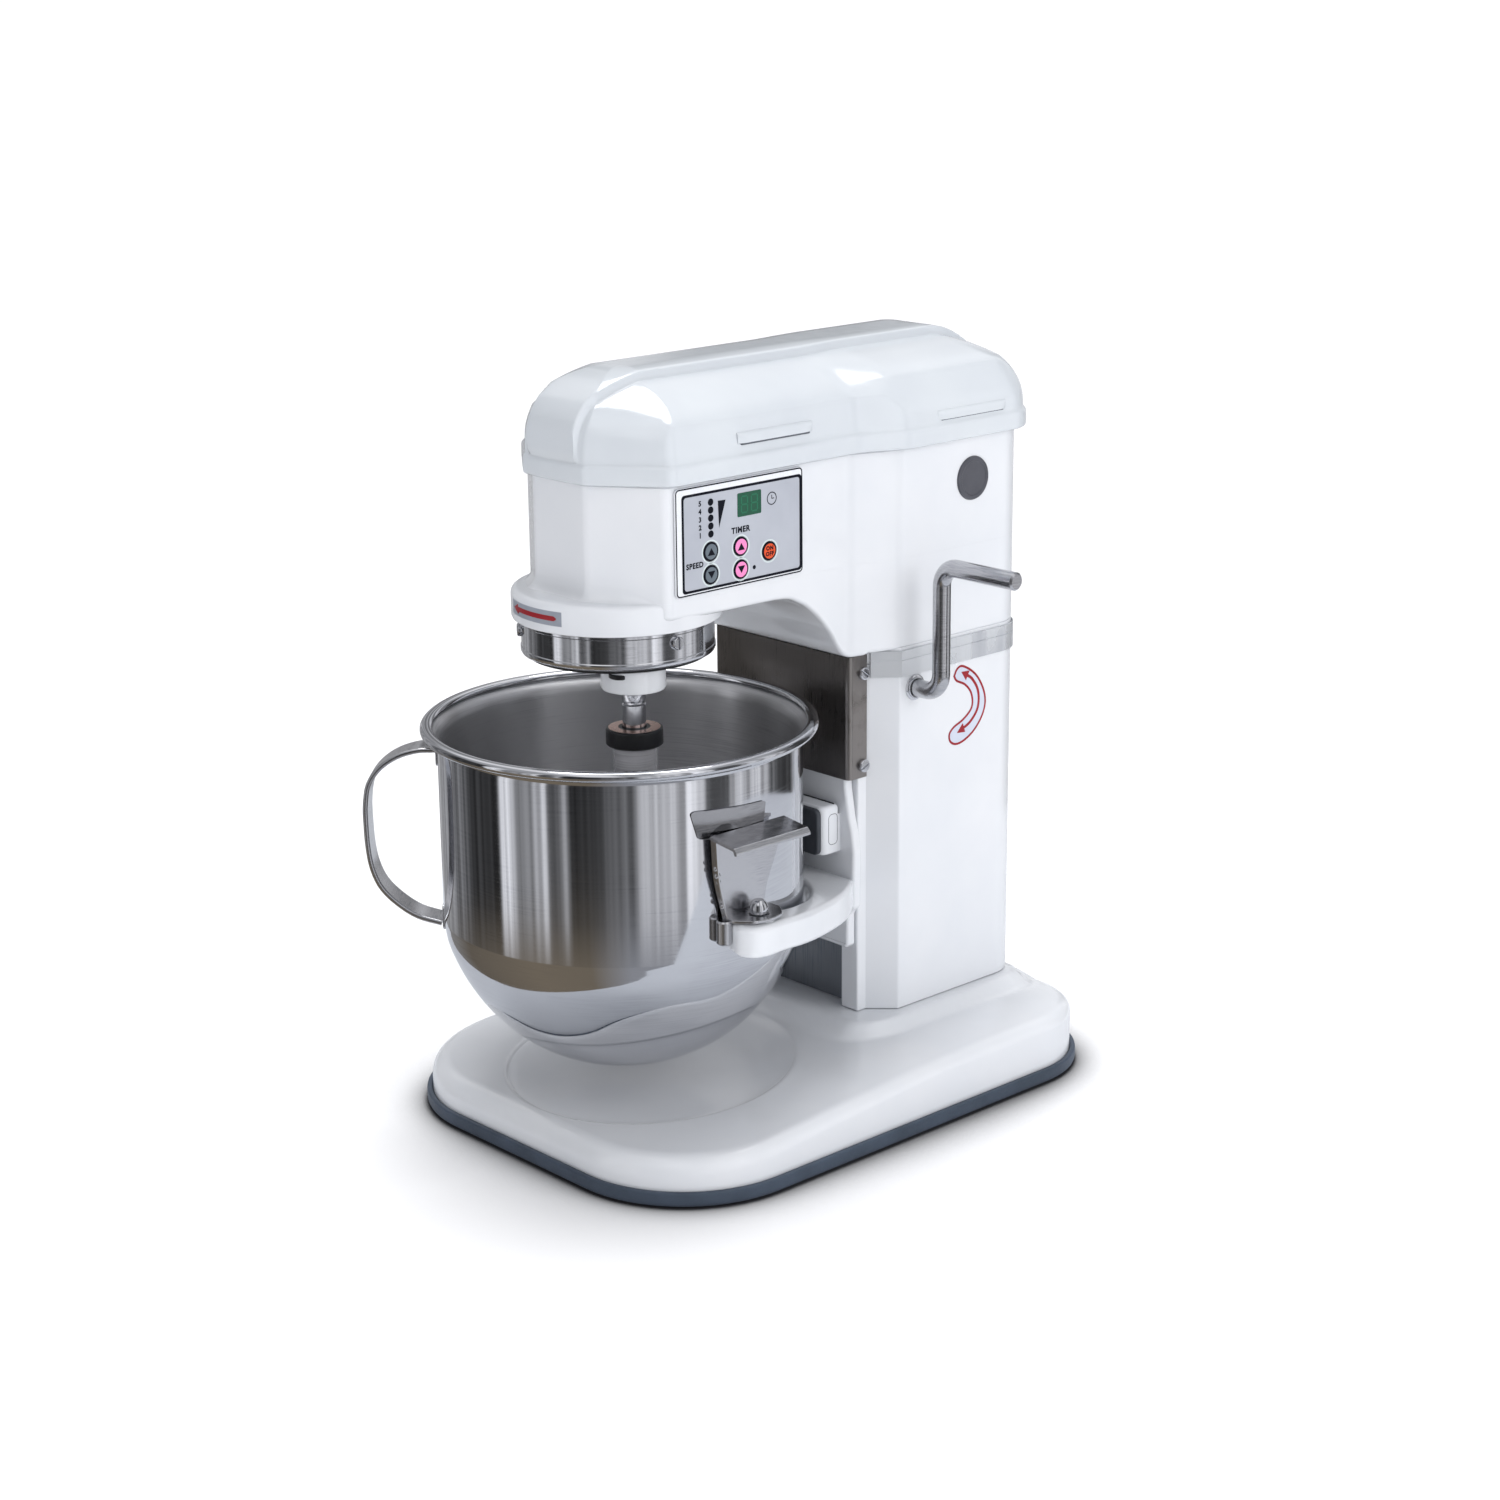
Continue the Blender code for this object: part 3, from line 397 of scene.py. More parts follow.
def screw_head(r, h, slot_w, slot_d):
    """Round slotted head standing on z = 0."""
    bm = slab(circle(0, 0, r, 32), 0, h, 0, r * 0.28, 4)
    for y in (-1, 1):
        for wall in (slot_w / 2, slot_w / 2 + 0.05):
            bmesh.ops.bisect_plane(bm, geom=bm.verts[:] + bm.edges[:] + bm.faces[:], dist=1e-4,
                                   plane_co=(0, y * wall, 0), plane_no=(0, 1, 0))
    for v in bm.verts:
        if abs(v.co.y) < slot_w / 2 + 0.01 and v.co.z > 0.01:
            v.co.z = min(v.co.z, h - slot_d)
    return bm


# ---- finishes ---------------------------------------------------------------------------------
def colour(code):
    """Linear RGBA from a #rrggbb code."""
    parts = [int(code[i:i + 2], 16) / 255 for i in (1, 3, 5)]
    return tuple(c / 12.92 if c <= 0.04045 else ((c + 0.055) / 1.055) ** 2.4 for c in parts) + (1,)


def set_or_link(tree, socket, value):
    if isinstance(value, bpy.types.NodeSocket):
        tree.links.new(value, socket)
    else:
        socket.default_value = value


class Graph:
    """Small helper round the nodes of one material or world."""

    def __init__(self, owner):
        owner.use_nodes = True
        self.owner, self.tree = owner, owner.node_tree
        self.place = self.tree.nodes.new("ShaderNodeTexCoord")

    def add(self, kind, inputs=(), **values):
        node = self.tree.nodes.new(kind)
        for key, value in values.items():
            setattr(node, key, value)
        for key, value in dict(inputs).items():
            set_or_link(self.tree, node.inputs[key], value)
        return node

    def noise(self, scale, stretch=(1, 1, 1), detail=4):
        mapping = self.add("ShaderNodeMapping", {"Vector": self.place.outputs["Object"], "Scale": stretch})
        return self.add("ShaderNodeTexNoise", {"Vector": mapping.outputs[0], "Scale": scale,
                                               "Detail": detail, "Roughness": 0.55}).outputs["Fac"]

    def spread(self, value, low, high, start=0.3, end=0.7):
        """The value, with start..end turned into low..high."""
        return self.add("ShaderNodeMapRange", {"Value": value, "From Min": start, "From Max": end,
                                               "To Min": low, "To Max": high}).outputs["Result"]

    def ramp(self, value, stops):
        """Colour that runs through (position, RGBA) stops."""
        node = self.add("ShaderNodeValToRGB", {"Fac": value})
        marks = node.color_ramp.elements
        while len(marks) < len(stops):
            marks.new(0.5)
        for mark, (position, tone) in zip(marks, stops):
            mark.position, mark.color = position, tone
        return node.outputs["Color"]

    def tint(self, value, first, second, start=0.3, end=0.7):
        """Colour that runs from one #rrggbb code to another as the value goes from start to end."""
        return self.ramp(value, [(start, colour(first)), (end, colour(second))])

    def bump(self, value, depth):
        return self.add("ShaderNodeBump", {"Height": value, "Distance": depth * MM}).outputs["Normal"]

    def join(self, **sockets):
        shader = self.tree.nodes["Principled BSDF"]
        for key, value in sockets.items():
            set_or_link(self.tree, shader.inputs[key.replace("_", " ")], value)
        return self.owner


def material(name):
    return Graph(bpy.data.materials.new(name))


def painted(name, light, dark, rough, peel=0.012, peel_scale=260):
    """Sprayed or moulded surface: faint cloudiness, a fine orange peel and a clear gloss on top."""
    g = material(name)
    cloud = g.noise(18, detail=3)
    fine = g.noise(peel_scale, detail=2)
    return g.join(Base_Color=g.tint(cloud, dark, light), Roughness=g.spread(fine, rough - 0.03, rough + 0.03),
                  Normal=g.bump(fine, peel), Coat_Weight=0.5, Coat_Roughness=0.08, IOR=1.5)


def brushed(name, light, dark, rough, spread=0.10, grain=900, stretch=(0.02, 0.02, 1), depth=0.01,
            metal=1, anisotropy=0):
    """Metal with fine grain along one direction and faint uneven wiping."""
    g = material(name)
    lines = g.noise(grain, stretch, detail=6)
    wipe = g.noise(14, detail=4)
    both = g.add("ShaderNodeMath", {0: lines, 1: wipe}, operation="ADD").outputs[0]
    return g.join(Base_Color=g.tint(both, dark, light, 0.75, 1.25), Metallic=metal,
                  Roughness=g.spread(both, rough - spread / 2, rough + spread / 2, 0.8, 1.2),
                  Normal=g.bump(lines, depth), Anisotropic=anisotropy, Anisotropic_Rotation=0.25)


def moulded(name, light, dark, rough, depth=0.004, grain=900, mottle=40, spec=0.45):
    """Plastic, rubber or ink with a fine skin texture."""
    g = material(name)
    fine = g.noise(grain, detail=3)
    cloud = g.noise(mottle, detail=4)
    return g.join(Base_Color=g.tint(cloud, dark, light), Roughness=g.spread(fine, rough - 0.06, rough + 0.06),
                  Normal=g.bump(fine, depth), Specular_IOR_Level=spec)


FINE = (0.05, 0.05, 1)
EVEN = (1, 1, 1)
ENAMEL = painted("enamel_white", "#dcdee2", "#d6d9de", 0.2)
COVER = painted("cover_white", "#cdd2d7", "#c8cdd3", 0.16, 0.006, 150)
RUBBER = moulded("slate_rubber", "#434e5e", "#36404d", 0.5, 0.03)
PAD = moulded("pad_rubber", "#474b52", "#33363c", 0.55, 0.03)
PLUG = moulded("dark_bakelite", "#55565d", "#44454c", 0.38, 0.02)
BLACK = moulded("black_plastic", "#1b1c1f", "#101113", 0.35, 0.015)
# grey of the louvre slots: painted shade standing for the dark opening under each hood
PAINTED_VENT_SHADE = moulded("vent_painted_shade", "#5d6168", "#4c5057", 0.7, 0.01)
BOWL_OUT = brushed("polished_bowl", "#cbccd0", "#c0c1c6", 0.06, 0.04, 1500, depth=0.0004)
BOWL_IN = brushed("brushed_bowl", "#d6d6d8", "#c0c0c3", 0.38, 0.08, 2200, (0.012, 0.012, 1), 0.001,
                  anisotropy=0.9)
BAND = brushed("band_steel", "#dfe2e6", "#c6c9cf", 0.3, 0.12, 60, (1, 1, 0.1), 0.05, 0.6)
SLEEVE = brushed("sleeve_steel", "#e6e6ea", "#c4c4c9", 0.16, 0.06, metal=0.7)
SATIN = brushed("satin_steel", "#c4c4c7", "#aeaeb2", 0.2, 0.1, 2600, FINE, 0.0008)
CHROME = brushed("polished_steel", "#d0d1d5", "#bfc0c4", 0.1, 0.05, 2600, FINE, 0.0004)
GUARD = brushed("brushed_guard", "#9a9592", "#7d7976", 0.32, 0.12, 2400, (1, 0.03, 0.03), 0.0015)
PLATE = brushed("grey_plate", "#8c9097", "#72767d", 0.45, stretch=(1, 0.05, 0.05))
CAST = brushed("cast_alloy", "#b4b5b9", "#96979c", 0.5, 0.10, 300, EVEN, 0.05)
BEATER = brushed("beater_alloy", "#c2c3c7", "#a5a6ab", 0.38, 0.10, 260, EVEN, 0.04)
COPPER = brushed("copper_ring", "#c3a295", "#92766b", 0.26, grain=700)
BRONZE = brushed("bronze", "#b08b52", "#8d6c3b", 0.35, grain=600)
BOARD = moulded("circuit_board", "#2f6b45", "#245336", 0.4, 0.02, mottle=220)
HALO = moulded("key_halo", "#ccd6d8", "#c3ced0", 0.35)
MARGIN = moulded("panel_margin", "#e4e6ea", "#dcdfe4", 0.3)
FILM = moulded("panel_film", "#b0b4bd", "#a7abb5", 0.36, 0.006, 1600)
INK_NAVY = moulded("ink_navy", "#10131f", "#0a0c16", 0.5, spec=0.15)
INK_GREY = moulded("ink_grey", "#6f7178", "#5e6067", 0.45)
INK_RED = moulded("ink_red", "#9a1521", "#8a101c", 0.4)
LABEL_GREY = moulded("label_grey", "#989da8", "#858b96", 0.4)
LABEL_BLUE = moulded("label_blue", "#c9cfdd", "#bcc3d3", 0.35)
GLASS = moulded("display_glass", "#0f4f38", "#0a4430", 0.16, 0.001, spec=0.6)
SEGMENT = moulded("display_segment", "#17684b", "#125c42", 0.2, 0.001)
KEY_SLATE = moulded("key_slate", "#657079", "#5b666f", 0.4, 0.01)
KEY_PINK = moulded("key_pink", "#f58cc4", "#ee80bb", 0.4, 0.01)
KEY_RED = moulded("key_red", "#dd4f1f", "#d24718", 0.4, 0.01)


# ---- base ---------------------------------------------------------------------------------------
MAT_HIGH = span("base_rubber_mat")[1]
BASE_LOW, BASE_HIGH = span("base_casting")
DISH_Y = -80
DISH_R = 81
DISH_FLOOR = 26
CREST = [(-176, 24.8), (-145, 26.5), (-80, 30.4), (-40, 33), (0, 35.6), (25, 36.8), (60, 37.4), (135, 37.4),
         (152, 35.5), (168, 31.5)]


def base_outline(grow):
    """Plan of the base, grow millimetres outside the white casting's."""
    w = BASE_HIGH.x + grow
    corners = rect(-w, w, BASE_LOW.y - grow, BASE_HIGH.y + grow)
    front, back = 69.6 + grow, 54.6 + grow
    return subdivided(fillet(corners, [front, front, back, back], 20), 7)


def base_edge(y):
    """Height where the side of the casting starts to round over."""
    return 13.5 + 16 * min(1, max(0, (y + 176) / 200))


def base_top(x, y):
    """Height of the top of the casting: a gentle wedge that steps up to a plateau at the column."""
    low = curve_at(CREST, y) - 2.2 * max(0, (abs(x) - 84) / 40) ** 2
    dx = max(0, abs(x) - 58)
    dy = max(0, (42 - y) * 0.62, y - 134)
    return low + (BASE_HIGH.z - low) * smooth(1 - (math.hypot(dx, dy) - 15) / 9)


def build_base():
    outer = base_outline(0)
    rings = [at_height(inset(outer, 1), BASE_LOW.z + 0.3), at_height(outer, BASE_LOW.z + 1.3)]
    rings += [[(x, y, (BASE_LOW.z + base_edge(y)) / 2) for x, y in outer],
              [(x, y, base_edge(y)) for x, y in outer]]
    reach = 10
    shoulder = inset(outer, reach)
    for k in range(1, 9):
        a = math.pi / 2 * k / 8
        ring = inset(outer, reach * (1 - math.cos(a)))
        rings.append([(*p, base_edge(q[1]) + (base_top(*s) - base_edge(q[1])) * math.sin(a))
                      for p, q, s in zip(ring, outer, shoulder)])
    rim = []
    for x, y in shoulder:
        d = Vector((x, y - DISH_Y)).normalized() * (DISH_R + 1.5)
        rim.append((d.x, DISH_Y + d.y))
    rows = 34
    for k in range(1, rows + 1):
        s = k / rows
        ring = [((1 - s) * x + s * u, (1 - s) * y + s * v) for (x, y), (u, v) in zip(shoulder, rim)]
        rings.append([(x, y, base_top(x, y)) for x, y in ring])
    drops = {81: 0.25, 80.2: 0.9}
    for r in (81, 80.2, 79, 74, 66, 55, 42, 28, 14, 3):
        ring = []
        for u, v in rim:
            s = r / (DISH_R + 1.5)
            top = base_top(u, v)
            z = top - drops[r] if r in drops else DISH_FLOOR + (top - 1.6 - DISH_FLOOR) * (r / 79) ** 4
            ring.append((u * s, DISH_Y + (v - DISH_Y) * s, z))
        rings.append(ring)
    piece("base_shell", skinned(rings), ENAMEL, "base_casting", sharp=50)
    outer = base_outline(MAT_HIGH.x - BASE_HIGH.x)
    section = [(2.6, 0), (1.3, 0.6), (0.5, 1.3), (0.1, 2.2), (0, 3), (0, 7), (0.25, 8), (0.9, MAT_HIGH.z),
               (2.6, MAT_HIGH.z), (3.2, 7.8), (3.2, 0.4), (3, 0)]
    skirt = skinned([at_height(inset(outer, d), z) for d, z in section], loop=True)
    bed = slab(inset(outer, 3), 0.3, 2.2, 0.2, 0.2, 2)
    feet = [slab(circle(x, y, 11, 28), 0, 1, 0.3, 0, 3) for x in (-96, 96) for y in (-118, 118)]
    piece("base_skirt", merged(skirt, bed, *feet), RUBBER, "base_rubber_mat", sharp=40)


# ---- column and head ------------------------------------------------------------------------
COLUMN_LOW, COLUMN_HIGH = span("column_housing")
HEAD_LOW, HEAD_HIGH = span("head_housing")
PLANET_AXIS = middle("planetary_ring")
STRIP_IN, STRIP_OUT = 40, 53.4
COL_REAR, COL_RC = COLUMN_HIGH.y, 22
COL_HALF = COLUMN_HIGH.x
ARCH = [(-140, 297), (-76, 295.2), (-30, 294.5), (-17, 290.6), (-9.5, 286), (-2, 279.2), (5.6, 270.4),
        (11, 261.8), (15.5, 256.4), (21, 253.6), (29.5, 253.6)]
HEAD_FRONT = -135
HEAD_CUTS = 10
COLLAR_TOP = 305.7


def rear_corner(grow=0):
    return arc(COL_HALF - COL_RC, COL_REAR - COL_RC, COL_RC + grow, 0, 90, 14)


def column_outline(notch=True):
    """Plan of the column, with or without the notch of the slide in its front."""
    front = [(STRIP_IN, 44), (STRIP_IN, COLUMN_LOW.y)] if notch else []
    outline = both_sides(front + [(STRIP_OUT, COLUMN_LOW.y), (STRIP_OUT, 36),
                                  (COL_HALF, 49.4)] + rear_corner())
    radii = []
    for x, y in outline:
        near = y < 31 and min(abs(abs(x) - STRIP_IN), abs(abs(x) - STRIP_OUT)) < 0.1
        radii.append(1.2 if near else 2.5 if abs(abs(x) - COL_HALF) < 0.1 and y < 60 else 0)
    return fillet(outline, radii, 4)


def build_column():
    bm = slab(column_outline(), COLUMN_LOW.z, COLUMN_HIGH.z, 0.6, 0.6, 3)
    bm = cut_away(bm, box(-12.8, 12.8, 20, 56.5, 184, 250))  # way for the lift rack
    piece("column_shell", bm, ENAMEL, "column_housing", sharp=32)
    low, high = span("column_band")
    outer = both_sides([(STRIP_OUT + 2.95, 36.6), (COL_HALF + 1.35, 49.2)] + rear_corner(1.35))
    back = [(x * (COL_HALF + 0.25) / (COL_HALF + 1.35), y if y < 50 else min(y, COL_REAR + 0.25))
            for x, y in outer]
    groove = [(x - 0.35 * math.copysign(1, x) if abs(x) > 50 else x, y) for x, y in outer]
    mid = (low.z + high.z) / 2 + 2.2
    levels = [(back, low.z), (outer, low.z), (outer, low.z + 0.25), (outer, mid - 0.35), (groove, mid - 0.2),
              (groove, mid + 0.2), (outer, mid + 0.35), (outer, high.z - 0.25), (outer, high.z),
              (back, high.z)]
    bm = bmesh.new()
    rows = skin(bm, [at_height(ring, z) for ring, z in levels], closed=False, loop=True)
    bm.faces.new([row[0] for row in rows])
    bm.faces.new([row[-1] for row in reversed(rows)])
    piece("joint_band", bm, BAND, "column_band", sharp=30)


def cross_edges(outline, cuts):
    """Subdivides the outline: the straight front and back edges into cuts, the rest every 2.5 mm."""
    out = []
    low, high = min(y for x, y in outline), max(y for x, y in outline)
    for a, b in zip(outline, outline[1:] + outline[:1]):
        a, b = Vector(a), Vector(b)
        across = abs(a.y - b.y) < 0.01 and a.x * b.x < 0 and (a.y < low + 0.01 or a.y > high - 0.01)
        n = cuts if across else max(1, math.ceil((b - a).length / 2.5))
        out += [tuple(a.lerp(b, k / n)) for k in range(n)]
    return out


def fill_across(bm, ring, cuts):
    """Strips across a mirrored ring, whose first and last straight edges have cuts pieces each."""
    n = len(ring)
    low, high = min(v.co.y for v in ring), max(v.co.y for v in ring)
    first = max(range(n), key=lambda i: (ring[i].co.y < low + 0.02, ring[i].co.x))
    last = max(range(n), key=lambda i: (ring[i].co.y > high - 0.02, ring[i].co.x))
    count = (last - first) % n
    right = [ring[(first + k) % n] for k in range(count + 1)]
    left = [ring[(first - cuts - k) % n] for k in range(count + 1)]
    strips = [[ring[(first - k) % n] for k in range(cuts + 1)]]
    for a, b in list(zip(right, left))[1:-1]:
        strips.append([a] + [bm.verts.new(a.co.lerp(b.co, k / cuts)) for k in range(1, cuts)] + [b])
    strips.append([ring[(last + k) % n] for k in range(cuts + 1)])
    for p, q in zip(strips, strips[1:]):
        for k in range(cuts):
            bm.faces.new((p[k], p[k + 1], q[k + 1], q[k]))


def head_outline():
    """Plan of the head: flat nose with facets, straight arm, wider round-cornered column."""
    outline = both_sides([(21, HEAD_FRONT), (56.5, -110.5), (56.5, 20), (COL_HALF, 49.4)] + rear_corner())
    radii = [9 if y < -130 else 8 if y < -105 else 26 if y < 60 else 0 for x, y in outline]
    return cross_edges(fillet(outline, radii, 8), HEAD_CUTS)


def build_flare(outline):
    """Concave flare between the top of the collar and the wall of the head."""
    c = PLANET_AXIS
    rows = []
    for p, q in zip(outline, inset(outline, -1)):
        d = (54.6 - math.hypot(p[0] - c.x, p[1] - c.y)) * 0.8 if p[1] < -60 else 0
        rows.append((Vector(p), Vector(q) - Vector(p), max(0.05, min(7, d))))

    def ring(out, rise, floor=COLLAR_TOP):
        """Points out times each reach from the wall, less 2 mm where out is None."""
        return [(*(p + n * (-2 if out is None else d * out)), floor + d * rise) for p, n, d in rows]

    rings = []
    for k in range(8):
        a = math.radians(90 * k / 7)
        rings.append(ring(1 - math.sin(a), 1.15 * (1 - math.cos(a))))
    rings += [ring(None, 1.15), ring(None, 0, 305), ring(1, 0, 305)]
    return skinned(rings, loop=True)


def build_head():
    arch = spline(ARCH, 6)
    outline = head_outline()
    edge = 3

    def under(y):
        return curve_at(arch, y) if y < 29.5 else 254.6

    rings = edge_rings(outline, lambda p, q: under(p[1]), edge, 5)
    for s in (0.25, 0.5, 0.75):
        rings.append([(x, y, (under(y) + edge) * (1 - s) + (HEAD_HIGH.z - 1) * s) for x, y in outline])
    rings += [at_height(outline, HEAD_HIGH.z - 0.8), at_height(inset(outline, 0.8), HEAD_HIGH.z)]
    arm = bmesh.new()
    fill_across(arm, skin(arm, rings, caps=(False, True))[0], HEAD_CUTS)
    # ledge under the wide rear part: the casting there follows the column
    rear = slab(column_outline(False), HEAD_LOW.z, 256, 0.5, 0, 3)
    arm, rear = (cut_away(part, box(-6.5, 6.5, 43, 56.5, 240, 262)) for part in (arm, rear))
    collar = lathe([(30, 289.6), (54.8, 289.6), (55.8, 290.1), (56.2, 291.2), (56.2, 302.4), (56, 303.6),
                    (55.4, 304.7), (54.4, 305.5), (53, 305.9), (50, 306.2), (30, 307.2)], PLANET_AXIS, 128,
                   closed=True)
    piece("head_shell", merged(arm, rear, collar, build_flare(outline)), ENAMEL, "head_housing",
          sharp=40)


# ---- cover --------------------------------------------------------------------------------------
COVER_LOW, COVER_HIGH = span("top_cover")
RIB_X = (8, 14, 17, 17.8, 18.6, 19.4, 20, 21.5)
SPINE_FRONT, SPINE_BACK = -92, 112
CREASE_TOP, CROWN = 405, 12.7
# half width of the arm and of the rear, front, back, half width of the nose, rear corner, height
LIP = [(60, 71.5, -139, 157.5, 24, 25, 0), (60.6, 72.1, -139.5, 158.1, 24.3, 25.3, 0.5),
       (61, 72.5, -139.8, 158.5, 24.5, 25.5, 1.6), (61, 72.5, -139.8, 158.5, 24.5, 25.5, 5),
       (61, 72.4, -139.8, 158.4, 24.5, 25.5, 8), (60.7, 72.1, -139.6, 158.1, 24.4, 25.2, 9.3),
       (60, 71.5, -139.2, 157.7, 24.2, 25, 10.2)]


def cover_outline(w, wr, front, back, nose, rc):
    """Right half of the cover's plan at one height; the same number of points whatever the sizes."""
    bow = 1.4
    line = [(21.5, front + 1.1), (nose, front + bow), (w, front + 29.5), (w, 22), (wr, 50), (wr, back - rc)]
    corner = fillet(line, [0, 7, 9, 22, 22, 0], 6, closed=False)
    pieces = {7: 8, 14: 26, 21: 5, 28: 20}
    points = []
    for i, (a, b) in enumerate(zip(corner, corner[1:])):
        n = pieces.get(i, 1)
        points += [tuple(Vector(a).lerp(Vector(b), k / n)) for k in range(n)]
    right = [(x, front + bow * (x / 24) ** 2) for x in RIB_X]
    right += points[1:] + arc(wr - rc, back - rc, rc, 0, 90, 12)
    right += [((wr - rc) * (1 - t) + 21.5 * t, back) for t in (0.33, 0.66)]
    return right + [(x, back) for x in reversed(RIB_X)]


def cover_wall(base, upper, v):
    """Ring at step v (0 to 2) of the wall, which has a crease along the arm and is round at its ends."""
    z0 = COVER_LOW.z + 11
    ring = []
    for (x0, y0), (x1, y1) in zip(base, upper):
        rear = smooth((y0 - 38) / 18)
        zc = 396 - 10 * rear
        uc = 0.20 - 0.10 * rear
        z = z0 + (zc - z0) * v if v <= 1 else zc + (CREASE_TOP - zc) * (v - 1)
        creased = uc * v if v <= 1 else uc + (1 - uc) * (v - 1) ** 1.25
        soft = ((z - z0) / (CREASE_TOP - z0)) ** 2.8
        f = smooth((y0 + 117) / 12) * smooth((156.5 - y0) / 16)
        u = creased * f + soft * (1 - f)
        ring.append((x0 + (x1 - x0) * u, y0 + (y1 - y0) * u, z))
    return ring


def cover_roof(upper, to_rib, beyond):
    """Ring of the roof: to_rib runs from the wall to the rib, beyond from there to the spine."""
    ring = []
    for x, y in upper:
        rib = max(0, 1 - 21 / x)
        s = rib * to_rib + (1 - rib) * beyond
        sy = min(SPINE_BACK, max(SPINE_FRONT, y))
        ring.append((x * (1 - s), y + (sy - y) * s, CREASE_TOP + CROWN * (1 - (1 - s) ** 2.2)))
    return ring


def build_cover():
    low = COVER_LOW.z
    rings = [at_height(cover_outline(*sizes), low + z) for *sizes, z in LIP]
    base = cover_outline(59.2, 70.8, -138.6, 157.3, 24.1, 24.7)
    upper = cover_outline(44, 56.5, -129, 150, 21.9, 20)
    rings += [cover_wall(base, upper, v) for v in [k / 6 for k in range(7)] + [1 + k / 7
                                                                               for k in range(1, 8)]]
    rings += [cover_roof(upper, t, 0) for t in (0.25, 0.5, 0.75, 1)]
    rings += [cover_roof(upper, 1, t) for t in (0.04, 0.08, 0.115, 0.15, 0.25, 0.36, 0.48, 0.6, 0.72, 0.85,
                                                1)]
    bm = bmesh.new()
    skin(bm, [ring + [(-x, y, z) for x, y, z in reversed(ring)] for ring in rings], caps=(True, False))
    bmesh.ops.remove_doubles(bm, verts=bm.verts, dist=0.02)
    bmesh.ops.recalc_face_normals(bm, faces=bm.faces)
    bm.normal_update()
    for v in bm.verts:
        rib = 1 - smooth((abs(v.co.x) - 18.2) / 1.7)
        fade = smooth((v.co.z - (low + 10.5)) / 5)
        v.co += v.normal * (4.3 * rib * fade)
        v.co.y = max(COVER_LOW.y, min(COVER_HIGH.y, v.co.y))
        v.co.z = min(COVER_HIGH.z, v.co.z)
    piece("cover_shell", bm, COVER, "top_cover", sharp=60)
    for side, tag in SIDES:
        vent("vent_front", side, tag, 58.6, -63, -10, 383)
        vent("vent_rear", side, tag, 70, 74, 128, 379.4)


def vent(name, side, tag, x, y0, y1, z):
    """Louvre: a long hood pressed out of the wall, with a grey strip along its lower edge as painted shade
    where the opening would be dark.
    """
    rings = []
    for k in range(41):
        t = k / 40
        out = 1.5 * max(0.03, min(1, min(t, 1 - t) * 10)) ** 0.5
        section = [(-2, 0.1), (out - 0.5, 0.1), (out - 0.1, 0.3), (out, 0.8), (out - 0.1, 1.6),
                   (out * 0.75, 3), (out * 0.35, 4.3), (-0.4, 5.4), (-2.4, 6)]
        rings.append([(side * (x + dx), y0 + (y1 - y0) * t, z + dz) for dx, dz in section])
    piece(f"{name}_{tag}", skinned(rings), COVER, sharp=50)
    # the grey strip in the mouth is painted shade: it stands for the dark inside of the louvre's opening
    mouth = subdivided(fillet(rect(y0 + 2, y1 - 2, z - 0.8, z + 0.3), 0.5, 3), 4)
    slot = to_side(turn_to_x(slab(mouth, 0, 2.6, 0, 0.2, 2), x - 2), side)
    piece(f"{name}_slot_{tag}", slot, PAINTED_VENT_SHADE, sharp=50)


# ---- planetary drive and beater --------------------------------------------------------------
PLANET = middle("agitator_shaft")


def build_planetary():
    low, high = span("planetary_ring")
    r = high.x
    wall = [(46.9, low.z + 1.2), (47.4, low.z + 0.3), (48.2, low.z), (50.2, low.z), (r - 0.5, low.z + 0.5),
            (r, low.z + 1.5), (r, low.z + 3.6), (r - 0.45, low.z + 4.1), (r - 0.45, high.z - 2.2),
            (r, high.z - 1.7), (r, high.z - 0.3), (r - 0.6, high.z), (50.2, high.z), (50.2, low.z + 6),
            (46.9, low.z + 6)]
    piece("planetary_trim", lathe(wall, PLANET_AXIS, 144, closed=True), CHROME,
          "planetary_ring")
    low, high = (v.z for v in span("planet_carrier"))
    disc = lathe([(0, 268.4), (44, 268.4), (44.6, 268.8), (45.2, 269.4), (46.8, 269.6), (47.4, 269.8),
                  (47.4, 270.4), (46.4, 270.6), (46.4, 273.8), (0, 274)], PLANET_AXIS, 112)
    boss = lathe([(6.9, low), (15.6, low), (16.8, low + 0.5), (17.2, low + 1.6), (17.2, 267.4),
                  (17.8, 268.2), (18.6, 268.6), (6.9, 268.6)], PLANET, 80, closed=True)
    trunk = lathe([(0, 273.5), (12, 273.5), (12, high - 1), (11.2, high), (0, high)], PLANET_AXIS, 48)
    piece("carrier_disc", merged(disc, trunk, boss), ENAMEL, "planet_carrier", "carrier")
    seal = lathe([(46, 268.9), (48.2, 268.9), (48.6, 269.2), (48.8, 270.2), (46, 270.2)], PLANET_AXIS, 112,
                 closed=True)
    lip = lathe([(6.7, low + 0.4), (9.4, low + 0.4), (9.4, low + 2), (6.7, low + 2)], PLANET, 48, closed=True)
    plug = lathe([(0, 263.8), (5.8, 263.8), (6.4, 264.3), (6.4, 266), (5.9, 266.4), (5.2, 266.2),
                  (0, 266.2)], polar(12.5, -72, PLANET.x, PLANET.y), 48)
    piece("carrier_seal", merged(seal, lip, plug), BLACK, body="carrier")


